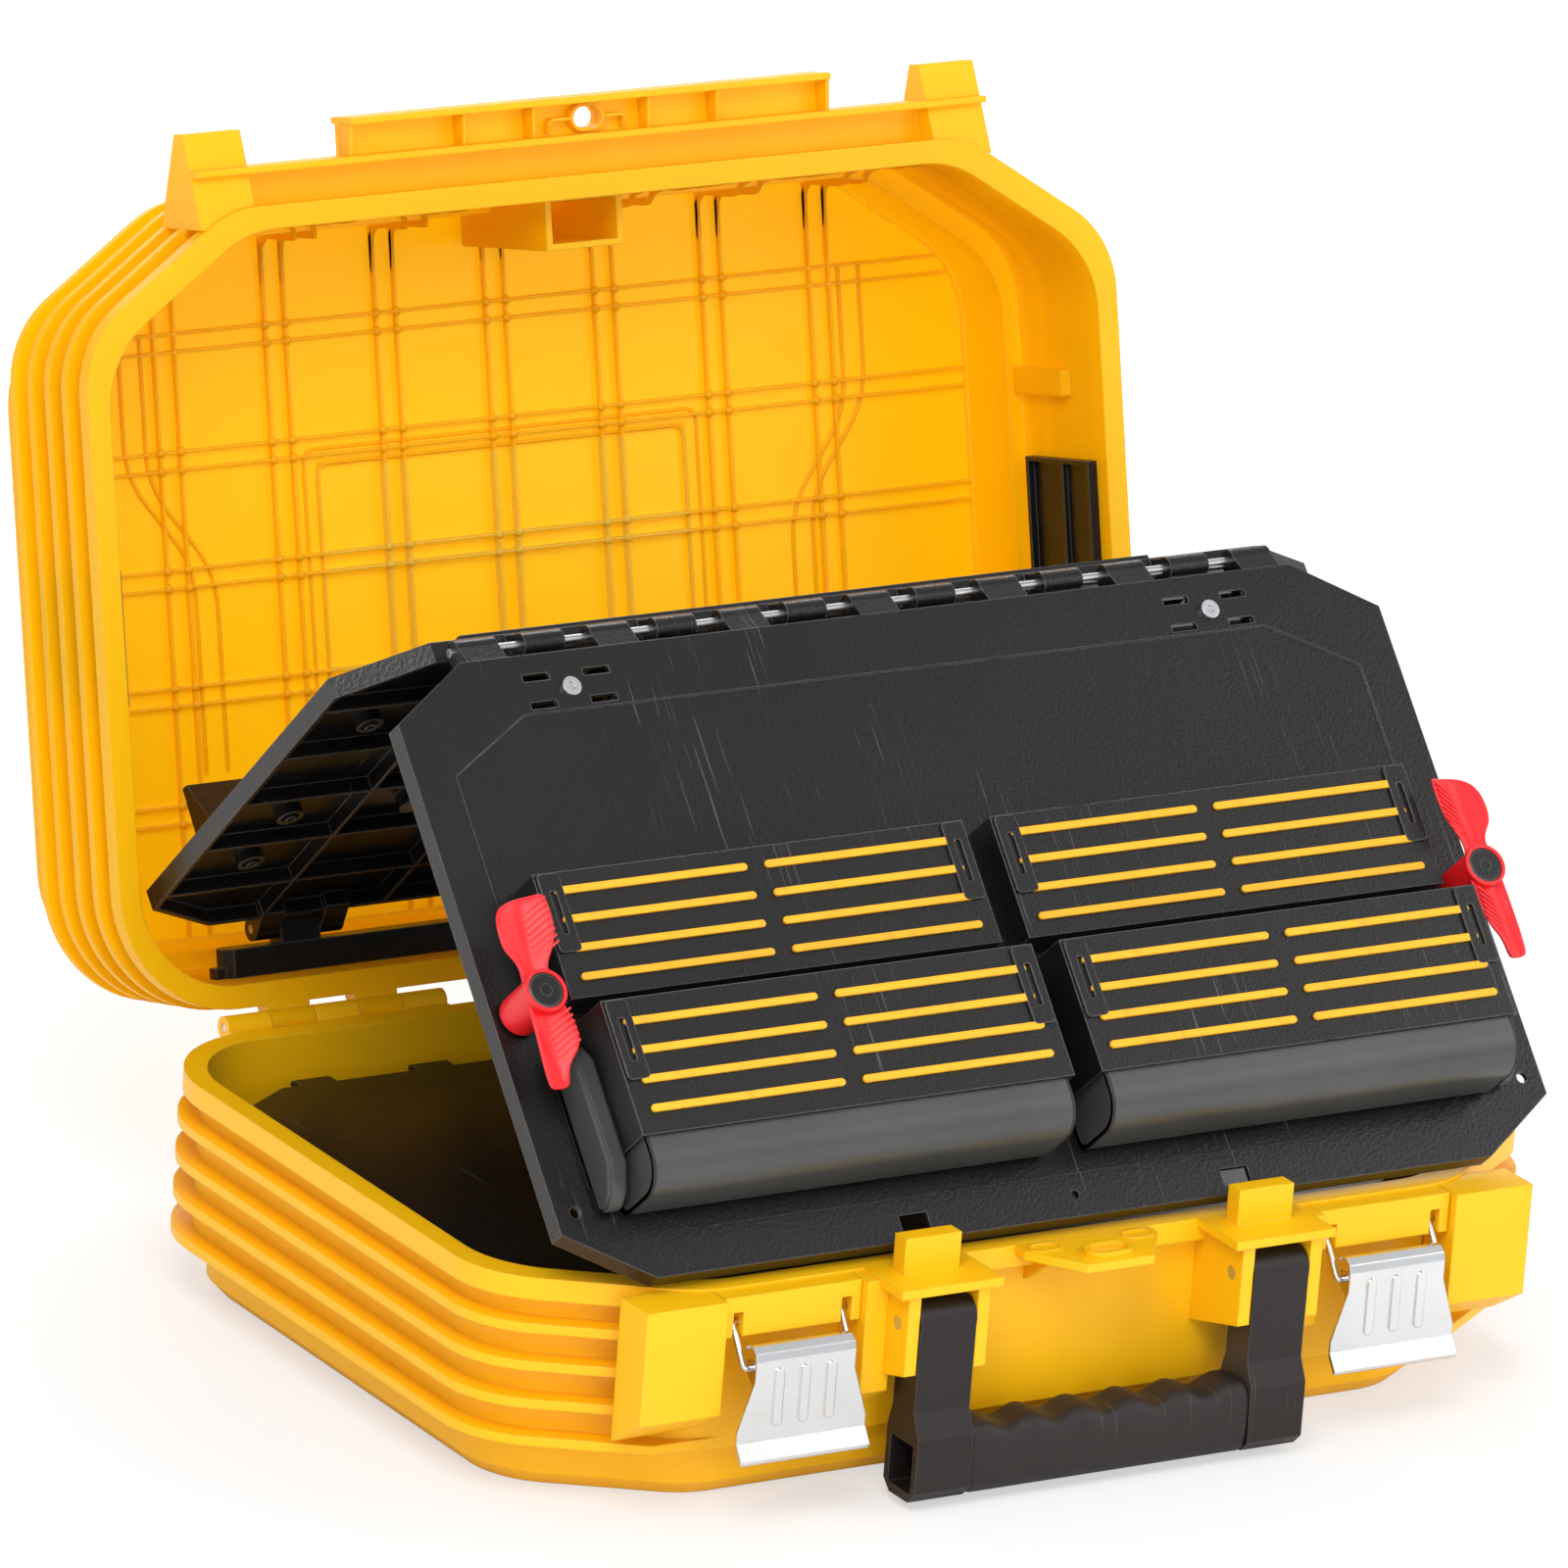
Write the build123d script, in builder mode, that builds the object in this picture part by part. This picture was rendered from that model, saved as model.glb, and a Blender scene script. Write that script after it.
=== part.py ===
"""Hard tool case, open, with its two hinged tool panels standing as a tent.

Millimetres.  X runs to the right, Y to the back and Z up.  The origin is the
centre of the underside of the base.  The lid is drawn as it lies when closed,
on a plane through the case hinge, and the panels on planes through the ridge.
"""
from build123d import *
from math import atan2, cos, degrees, hypot, radians, sin
import os

os.makedirs("parts", exist_ok=True)

# ---------------------------------------------------------------- case sizes
CASE_WIDTH = 540.0
CASE_DEPTH = 356.0
REAR_RADIUS = 58.0
FRONT_CUT_X = 78.0
FRONT_CUT_Y = 52.0
FRONT_RADIUS = 46.0
WALL = 3.0
FIN_REACH = 9.0
FIN_THICK = 4.4
FIN_PITCH = 17.0
FIN_COUNT = 4
RIM_HEIGHT = 10.0
RUNNING_GAP = 0.4

BASE_HEIGHT = 102.0
BASE_FOOT_HEIGHT = 25.0
BASE_FOOT_INSET = 17.0
BASE_BOTTOM_CHAMFER = 7.0

LID_INNER_DEPTH = 106.0
LID_CROWN_START = 72.0
LID_CROWN_INSET = 17.0
LID_CROWN_CHAMFER = 4.5
LID_OPEN_ANGLE = 104.0

# ---------------------------------------------------------------- case hinge
HINGE_BEHIND = 6.0
HINGE_KNUCKLE_RADIUS = 5.2
HINGE_PIN_RADIUS = 2.0
HINGE_KNUCKLE_LENGTH = 22.0
HINGE_KNUCKLES = 5
HINGE_CENTRES = (-165.0, 0.0, 165.0)
PIN_CLEARANCE = 0.06

# --------------------------------------------------------------- tool panels
PANEL_WIDTH = 504.0
PANEL_PLATE = 2.6
PANEL_STAND = 10.0
PANEL_CUT_X = 39.0
PANEL_CUT_Y = 25.0
PANEL_RIM = 2.2
FRONT_PANEL_LENGTH = 296.0
REAR_PANEL_LENGTH = 272.0
RIDGE_Y = 31.0
RIDGE_Z = 323.0
FRONT_EDGE_Y = -168.0
PIVOT_FROM_HINGE = 38.0
PIVOT_DEPTH = 30.0
RIDGE_ROD_RADIUS = 2.0
KNUCKLE_RADIUS = 5.4
RIDGE_KNUCKLES = 13
RIDGE_SPAN = 418.0
BORDER_WIDTH = 20.0
BORDER_STEP = 1.0

# ------------------------------------------------------------ panel fittings
POCKET_WIDTH = 216.0
POCKET_GAP = 14.0
UPPER_POCKET_TOP = 116.0
UPPER_POCKET_LENGTH = 58.0
UPPER_POCKET_REACH = 20.0
LOWER_POCKET_TOP = 184.0
LOWER_POCKET_LENGTH = 62.0
LOWER_POCKET_REACH = 41.0
POCKET_WALL = 2.0
TRAY_LENGTH = 80.0
STRIP_LENGTH = 96.0
STRIP_WIDTH = 3.4
STRIP_RISE = 1.3
STRIP_PITCH = 13.3
STRIP_ROWS = 4
STRIP_COLUMN_GAP = 9.0

CLIP_X = 240.0
CLIP_FROM_RIDGE = 172.0
CLIP_HUB_RADIUS = 8.0
CLIP_BORE_RADIUS = 3.0
CLIP_UNDER = 23.0
CLIP_THICK = 6.0
CLIP_WING_LENGTH = 44.0

# -------------------------------------------------------------------- handle
HANDLE_ARM_X = 85.0
HANDLE_ARM_WIDTH = 28.0
HANDLE_ARM_DEPTH = 17.0
HANDLE_PIVOT_Z = 84.0
HANDLE_BELOW = 80.0
HANDLE_FORWARD = 20.0
HANDLE_PIN_RADIUS = 3.0
GRIP_HEIGHT = 33.0
GRIP_DEPTH = 25.0
GRIP_GROOVES = 5

# ------------------------------------------------------------------- latches
LATCH_X = 151.0
LATCH_WIDTH = 64.0
LATCH_SHEET = 1.2
WIRE_RADIUS = 1.4
BAIL_PIVOT_Z = 88.0
BAIL_DROP = 17.0
BAIL_FORWARD = 12.0
LEVER_TOP = 10.5
LEVER_DROP = 40.0

HALF_WIDTH = CASE_WIDTH / 2
HALF_DEPTH = CASE_DEPTH / 2
HINGE_Y = HALF_DEPTH + HINGE_BEHIND
HINGE_Z = BASE_HEIGHT
INNER_INSET = FIN_REACH + WALL
LID_HEIGHT = LID_INNER_DEPTH + WALL
open_turn = radians(LID_OPEN_ANGLE)

lid_plane = Plane(
    origin=(0, HINGE_Y, HINGE_Z),
    x_dir=(1, 0, 0),
    z_dir=(0, sin(open_turn), cos(open_turn)),
)


def lid_point(x, ahead, depth):
    """A point of the lid: its way ahead of the hinge and its depth in the lid."""
    return lid_plane.from_local_coords(Vector(x, -ahead, depth))


pivot = lid_point(0, PIVOT_FROM_HINGE, PIVOT_DEPTH)
front_drop = (FRONT_PANEL_LENGTH**2 - (RIDGE_Y - FRONT_EDGE_Y) ** 2) ** 0.5
front_turn = atan2(-front_drop, FRONT_EDGE_Y - RIDGE_Y)
rear_turn = atan2(pivot.Z - RIDGE_Z, pivot.Y - RIDGE_Y)
ridge_to_pivot = hypot(pivot.Z - RIDGE_Z, pivot.Y - RIDGE_Y)

front_plane = Plane(
    origin=(0, RIDGE_Y, RIDGE_Z),
    x_dir=(1, 0, 0),
    z_dir=(0, sin(front_turn), -cos(front_turn)),
)
rear_plane = Plane(
    origin=(0, RIDGE_Y, RIDGE_Z),
    x_dir=(1, 0, 0),
    z_dir=(0, -sin(rear_turn), cos(rear_turn)),
)


def finish(part, name):
    """Label a finished piece and write it."""
    part.label = name
    export_step(part, f"parts/{name}.step")


# ------------------------------------------------------------------ outlines
def case_outline(inset, centre_y=0.0):
    """The plan of the case, rounded at the back and cut off at the front."""
    x = HALF_WIDTH - inset
    back = centre_y + HALF_DEPTH - inset
    front = centre_y - HALF_DEPTH + inset
    lean = FRONT_CUT_Y / FRONT_CUT_X
    cut_y = FRONT_CUT_Y
    cut_x = FRONT_CUT_X
    shift = inset * (hypot(1, lean) - 1)
    with BuildLine() as edge:
        Polyline(
            (-x, back),
            (x, back),
            (x, front + cut_y - shift),
            (x - cut_x + shift / lean, front),
            (-x + cut_x - shift / lean, front),
            (-x, front + cut_y - shift),
            close=True,
        )
    make_face(edge.edges())
    fillet(vertices().filter_by(lambda v: v.Y > centre_y), max(REAR_RADIUS - inset, 8))
    fillet(
        vertices().filter_by(lambda v: v.Y < centre_y),
        FRONT_RADIUS,
    )


def octagon(width, near, far, cut_x, cut_y):
    """A plate with its four corners cut off, from near to far along Y."""
    x = width / 2
    with BuildLine() as edge:
        Polyline(
            (-x + cut_x, near),
            (x - cut_x, near),
            (x, near + cut_y),
            (x, far - cut_y),
            (x - cut_x, far),
            (-x + cut_x, far),
            (-x, far - cut_y),
            (-x, near + cut_y),
            close=True,
        )
    make_face(edge.edges())


def bar_between(x_from, x_to, low, high, back, front):
    """A plain block given by its limits."""
    with Locations(((x_from + x_to) / 2, (front + back) / 2, (low + high) / 2)):
        Box(abs(x_to - x_from), abs(back - front), high - low)


def plane_block(plane, across, along, rise, mode=Mode.ADD):
    """A block on a plane: its limits across, along and above that plane."""
    with BuildSketch(plane.offset(rise[0])) as foot:
        with Locations((sum(across) / 2, sum(along) / 2)):
            Rectangle(abs(across[1] - across[0]), abs(along[1] - along[0]))
    extrude(foot.sketch, amount=rise[1] - rise[0], mode=mode)


def plane_profile(plane, points, x_from, x_to, mode=Mode.ADD):
    """A profile drawn along and above a plane, carried across it."""
    side = Plane(
        origin=plane.from_local_coords(Vector(x_from, 0, 0)),
        x_dir=plane.y_dir,
        z_dir=plane.x_dir,
    )
    with BuildSketch(side) as section:
        with BuildLine():
            Polyline(*points, close=True)
        make_face()
    extrude(section.sketch, amount=x_to - x_from, mode=mode)


def both_ways(near, far):
    """The limits of a stretch and of its mirror image."""
    return ((near, far), (-far, -near))


def side_profile(points, x_from, x_to):
    """A profile drawn in Y and Z, carried along X."""
    with BuildSketch(Plane.YZ.offset(x_from)) as section:
        with BuildLine():
            Polyline(*points, close=True)
        make_face()
    extrude(section.sketch, amount=x_to - x_from)


def cross_hole(y, z, x_from, x_to, radius):
    """A round hole along X."""
    with BuildSketch(Plane.YZ.offset(x_from)) as section:
        with Locations((y, z)):
            Circle(radius)
    extrude(section.sketch, amount=x_to - x_from, mode=Mode.SUBTRACT)


def cross_rod(y, z, x_from, x_to, radius):
    """A round bar along X."""
    with BuildSketch(Plane.YZ.offset(x_from)) as section:
        with Locations((y, z)):
            Circle(radius)
    extrude(section.sketch, amount=x_to - x_from)


# ---------------------------------------------------------------- base shell
FACE_Y = -HALF_DEPTH + FIN_REACH
FLAT_HALF = 228.0
BUTTRESS_REACH = 12.0
BUTTRESS_LOW = 36.0
BUTTRESS_SLOPE = 14.0
BUTTRESSES = ((186.0, 226.0), (103.0, 116.6))
BOSS_HALF = 34.0
BOSS_LOW = 83.0
BOSS_REACH = 8.0
SLOT_WIDTH = 5.0
ARM_OFFSET = 27.0
CHEEK = 6.0
ARM_PLAY = 0.5
PLATE_THICK = 4.0
LUG_HEIGHT = 16.0
LUG_HALF = 14.0
TONGUE_REACH = 30.0
TONGUE_HALF = 34.0
EYE_RADIUS = 4.6
PANEL_SEAT_Z = 74.0
SEAT_REACH = 26.0
SEAT_Y = 70.0
SCREW_X = 240.0
SCREW_RADIUS = 2.0
rim_z = BASE_HEIGHT - RIM_HEIGHT
base_fins = [rim_z - 10.0 - FIN_PITCH * k for k in range(FIN_COUNT)]
handle_y = -HALF_DEPTH - HANDLE_FORWARD
bail_y = -HALF_DEPTH - 3.0
boss_front = -HALF_DEPTH - BOSS_REACH
buttress_front = -HALF_DEPTH - BUTTRESS_REACH
cheek_front = handle_y - 8.0
plate_z = BASE_HEIGHT - PLATE_THICK


def hinge_slots(first, count):
    """The X limits of every second knuckle of each hinge, from the first."""
    pitch = HINGE_KNUCKLE_LENGTH + RUNNING_GAP
    for centre in HINGE_CENTRES:
        start = centre - pitch * HINGE_KNUCKLES / 2 + RUNNING_GAP / 2
        for k in range(first, count, 2):
            left = start + pitch * k
            yield left, left + HINGE_KNUCKLE_LENGTH


with BuildPart() as base_shell:
    with BuildSketch(Plane.XY.offset(BASE_FOOT_HEIGHT)):
        case_outline(FIN_REACH)
    extrude(amount=BASE_HEIGHT - BASE_FOOT_HEIGHT)
    with BuildSketch():
        case_outline(BASE_FOOT_INSET)
    extrude(amount=BASE_FOOT_HEIGHT)
    chamfer(faces().sort_by(Axis.Z)[0].edges(), BASE_BOTTOM_CHAMFER)
    for level in base_fins:
        with BuildSketch(Plane.XY.offset(level - FIN_THICK)):
            case_outline(0)
        extrude(amount=FIN_THICK)
    bar_cut_low = base_fins[-1] - FIN_THICK
    with Locations((0, -HALF_DEPTH, (bar_cut_low + rim_z) / 2)):
        Box(2 * FLAT_HALF - 40, 2 * FIN_REACH, rim_z - bar_cut_low, mode=Mode.SUBTRACT)
    with BuildSketch(Plane.XY.offset(rim_z)):
        case_outline(1.5)
    extrude(amount=RIM_HEIGHT)
    for left, right in hinge_slots(0, HINGE_KNUCKLES):
        side_profile(
            [
                (HALF_DEPTH - FIN_REACH - 1, HINGE_Z - 24),
                (HINGE_Y, HINGE_Z - HINGE_KNUCKLE_RADIUS),
                (HINGE_Y, HINGE_Z),
                (HALF_DEPTH - FIN_REACH - 1, HINGE_Z),
            ],
            left,
            right,
        )
        cross_rod(HINGE_Y, HINGE_Z, left, right, HINGE_KNUCKLE_RADIUS)
    for centre in HINGE_CENTRES:
        half = (HINGE_KNUCKLE_LENGTH + RUNNING_GAP) * HINGE_KNUCKLES / 2
        cross_hole(HINGE_Y, HINGE_Z, centre - half, centre + half, HINGE_PIN_RADIUS)
    with BuildSketch(Plane.XY.offset(BASE_FOOT_HEIGHT + WALL)):
        case_outline(INNER_INSET)
    extrude(amount=BASE_HEIGHT, mode=Mode.SUBTRACT)
    with BuildSketch(Plane.XY.offset(WALL)):
        case_outline(BASE_FOOT_INSET + WALL + BASE_BOTTOM_CHAMFER / 2)
    extrude(amount=BASE_FOOT_HEIGHT, mode=Mode.SUBTRACT)
    with BuildSketch(Plane.XY.offset(WALL + BASE_BOTTOM_CHAMFER / 2)):
        case_outline(BASE_FOOT_INSET + WALL)
    extrude(amount=BASE_FOOT_HEIGHT, mode=Mode.SUBTRACT)
    inner_x = HALF_WIDTH - INNER_INSET
    for left, right in both_ways(inner_x - SEAT_REACH, inner_x + 1):
        for y in (-SEAT_Y, SEAT_Y):
            bar_between(left, right, PANEL_SEAT_Z - 12, PANEL_SEAT_Z, y - 15, y + 15)
    for x in (-SCREW_X, SCREW_X):
        for y in (-SEAT_Y, SEAT_Y):
            with Locations((x, y, PANEL_SEAT_Z - 5)):
                Cylinder(SCREW_RADIUS, 10, mode=Mode.SUBTRACT)
finish(base_shell.part, "base_shell")

with BuildPart() as latch_bosses:
    for side in (-1, 1):
        middle = side * LATCH_X
        bar_between(
            middle - BOSS_HALF,
            middle + BOSS_HALF,
            BOSS_LOW,
            BASE_HEIGHT - 1,
            FACE_Y + 1,
            boss_front,
        )
        for arm in (-1, 1):
            x = middle + arm * ARM_OFFSET
            with Locations((x, boss_front, BOSS_LOW + 3)):
                Box(SLOT_WIDTH, 2 * (bail_y - boss_front + 3), 16, mode=Mode.SUBTRACT)
        cross_hole(
            bail_y,
            BAIL_PIVOT_Z,
            middle - BOSS_HALF,
            middle + BOSS_HALF,
            WIRE_RADIUS + PIN_CLEARANCE,
        )
    add(base_shell.part, mode=Mode.SUBTRACT)
finish(latch_bosses.part, "latch_bosses")

with BuildPart() as handle_mounts:
    for side in (-1, 1):
        middle = side * HANDLE_ARM_X
        half_arm = HANDLE_ARM_WIDTH / 2 + ARM_PLAY
        for cheek in (-1, 1):
            near = middle + cheek * half_arm
            far = near + cheek * CHEEK
            side_profile(
                [
                    (FACE_Y + 1, 52),
                    (cheek_front, 62),
                    (cheek_front, plate_z),
                    (FACE_Y + 1, plate_z),
                ],
                *sorted((near, far)),
            )
        reach = half_arm + CHEEK + 5
        bar_between(middle - reach, middle + reach, plate_z, BASE_HEIGHT, FACE_Y + 1, cheek_front - 2)
        bar_between(
            middle - LUG_HALF,
            middle + LUG_HALF,
            BASE_HEIGHT,
            BASE_HEIGHT + LUG_HEIGHT,
            -HALF_DEPTH - 3,
            -HALF_DEPTH - 12,
        )
        cross_hole(
            handle_y,
            HANDLE_PIVOT_Z,
            middle - half_arm - CHEEK,
            middle + half_arm + CHEEK,
            HANDLE_PIN_RADIUS,
        )
        side_profile(
            [
                (FACE_Y + 1, plate_z - 16),
                (-HALF_DEPTH - 12, plate_z),
                (FACE_Y + 1, plate_z),
            ],
            side * 22 - 1.5,
            side * 22 + 1.5,
        )
    with BuildSketch(Plane.XY.offset(plate_z)):
        with BuildLine():
            Polyline(
                (-TONGUE_HALF, FACE_Y + 1),
                (-TONGUE_HALF, -HALF_DEPTH - 6),
                (-TONGUE_HALF / 2, -HALF_DEPTH - TONGUE_REACH),
                (TONGUE_HALF / 2, -HALF_DEPTH - TONGUE_REACH),
                (TONGUE_HALF, -HALF_DEPTH - 6),
                (TONGUE_HALF, FACE_Y + 1),
                close=True,
            )
        make_face()
        with Locations((0, -HALF_DEPTH - 19)):
            SlotOverall(18, 2 * EYE_RADIUS, mode=Mode.SUBTRACT)
    extrude(amount=PLATE_THICK)
    add(base_shell.part, mode=Mode.SUBTRACT)
finish(handle_mounts.part, "handle_mounts")

with BuildPart() as front_buttresses:
    for side in (-1, 1):
        for inner, outer in BUTTRESSES:
            side_profile(
                [
                    (FACE_Y + 1, BUTTRESS_LOW),
                    (buttress_front, BUTTRESS_LOW + BUTTRESS_SLOPE),
                    (buttress_front, BASE_HEIGHT - 1),
                    (FACE_Y + 1, BASE_HEIGHT - 1),
                ],
                *sorted((side * inner, side * outer)),
            )
    add(base_shell.part, mode=Mode.SUBTRACT)
    add(handle_mounts.part, mode=Mode.SUBTRACT)
finish(front_buttresses.part, "front_buttresses")


# --------------------------------------------------------- third tool panel
BASE_PANEL_WIDTH = 496.0
BASE_PANEL_BACK = 150.0
BASE_PANEL_FRONT = -150.0
BASE_PANEL_CUT_X = 96.0
BASE_PANEL_CUT_Y = 62.0
HOOK_RADIUS = 4.2
base_panel_plane = Plane.XY.offset(PANEL_SEAT_Z)

with BuildPart() as base_panel:
    x = BASE_PANEL_WIDTH / 2
    outline = [
        (-x, BASE_PANEL_FRONT + BASE_PANEL_CUT_Y),
        (-x + BASE_PANEL_CUT_X, BASE_PANEL_FRONT),
        (x - BASE_PANEL_CUT_X, BASE_PANEL_FRONT),
        (x, BASE_PANEL_FRONT + BASE_PANEL_CUT_Y),
        (x, BASE_PANEL_BACK - PANEL_CUT_Y),
        (x - PANEL_CUT_X, BASE_PANEL_BACK),
        (-x + PANEL_CUT_X, BASE_PANEL_BACK),
        (-x, BASE_PANEL_BACK - PANEL_CUT_Y),
    ]
    with BuildSketch(base_panel_plane):
        with BuildLine():
            Polyline(*outline, close=True)
        make_face()
        offset(amount=-PANEL_RIM, mode=Mode.SUBTRACT)
    extrude(amount=PANEL_STAND)
    with BuildSketch(base_panel_plane.offset(PANEL_STAND - PANEL_PLATE)):
        with BuildLine():
            Polyline(*outline, close=True)
        make_face()
        for x_slot in (-150, -75, 75, 150):
            with Locations((x_slot, 30), (x_slot, -60)):
                SlotOverall(26, 4, rotation=90, mode=Mode.SUBTRACT)
    extrude(amount=PANEL_PLATE)
    with BuildSketch(base_panel_plane.offset(1)):
        for rib_x in (-160, -80, 0, 80, 160):
            with Locations((rib_x, 0)):
                Rectangle(1.6, 297)
    extrude(amount=PANEL_STAND - 2)
    for x in (-SCREW_X, SCREW_X):
        for y in (-SEAT_Y, SEAT_Y):
            with Locations((x, y, PANEL_SEAT_Z + PANEL_STAND / 2)):
                Cylinder(5, PANEL_STAND)
                Cylinder(SCREW_RADIUS + PIN_CLEARANCE, PANEL_STAND, mode=Mode.SUBTRACT)
    hook_z = PANEL_SEAT_Z + PANEL_STAND - HOOK_RADIUS
    hook_y = BASE_PANEL_BACK + 6
    for hook_x in (-190, -130, 130, 190):
        bar_between(
            hook_x - 9,
            hook_x + 9,
            hook_z - 1,
            hook_z + HOOK_RADIUS,
            BASE_PANEL_BACK - 1,
            hook_y,
        )
        cross_rod(hook_y, hook_z, hook_x - 9, hook_x + 9, HOOK_RADIUS)
        with BuildSketch(Plane.YZ.offset(hook_x - 9)) as mouth:
            with Locations((hook_y + 3, hook_z - 1)):
                Rectangle(7, 3.6)
        extrude(mouth.sketch, amount=18, mode=Mode.SUBTRACT)
finish(base_panel.part, "base_tool_panel")

with BuildPart() as panel_screws:
    for x in (-SCREW_X, SCREW_X):
        for y in (-SEAT_Y, SEAT_Y):
            with Locations((x, y, PANEL_SEAT_Z + PANEL_STAND / 2 - 3)):
                Cylinder(SCREW_RADIUS, PANEL_STAND + 6)
            with Locations((x, y, PANEL_SEAT_Z + PANEL_STAND + 1.2)):
                Cylinder(4.2, 2.4)
    with BuildSketch(Plane.XY.offset(PANEL_SEAT_Z + PANEL_STAND + 1.4)):
        with GridLocations(2 * SCREW_X, 2 * SEAT_Y, 2, 2):
            Rectangle(5.6, 1.2)
            Rectangle(1.2, 5.6)
    extrude(amount=2, mode=Mode.SUBTRACT)
finish(panel_screws.part, "base_panel_screws")


# ----------------------------------------------------------------- lid shell
LID_FIN_START = 18.0
LID_FIN_PITCH = 15.6
LID_RIM_HEIGHT = 8.5
RIB_HEIGHT = 3.0
RIB_THICK = 1.3
RIB_PITCH_X = 57.5
RIB_PAIR_X = 10.5
RIB_PITCH_U = 53.0
RIB_PAIR_U = 8.2
RIB_FIRST_U = 83.0
FLANGE_HALF = 125.0
FLANGE_AHEAD = 395.0
STRIP_AHEAD = 378.0
CATCH_INNER = 177.0
CATCH_OUTER = 206.0
CATCH_AHEAD = 394.0
EYE_AHEAD = 385.0
RECESS_HALF = 97.0
RECESS_NEAR = 60.0
RECESS_FAR = 234.0
RECESS_DEPTH = 2.0
lid_centre = -HINGE_Y
shut_plane = Plane.XY
outline_front = HINGE_BEHIND + CASE_DEPTH
inner_rear = HINGE_BEHIND + INNER_INSET
floor_inset = LID_CROWN_INSET + WALL


def lid_block(across, ahead, depth, mode=Mode.ADD):
    """A block in the shut lid: limits across, ahead of the hinge and in depth."""
    plane_block(shut_plane, across, (-ahead[1], -ahead[0]), depth, mode)


def lid_grid():
    """Leaves the pairs of ribs that cross the floor of the lid."""
    middle = -(HINGE_BEHIND + HALF_DEPTH)
    for k in range(-3, 4):
        for offset_x in (-RIB_PAIR_X / 2, RIB_PAIR_X / 2):
            with Locations((k * RIB_PITCH_X + offset_x, middle)):
                Rectangle(RIB_THICK, CASE_DEPTH, mode=Mode.SUBTRACT)
    for k in range(5):
        for offset_u in (-RIB_PAIR_U / 2, RIB_PAIR_U / 2):
            with Locations((0, -(RIB_FIRST_U + k * RIB_PITCH_U + offset_u))):
                Rectangle(CASE_WIDTH, RIB_THICK, mode=Mode.SUBTRACT)


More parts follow.
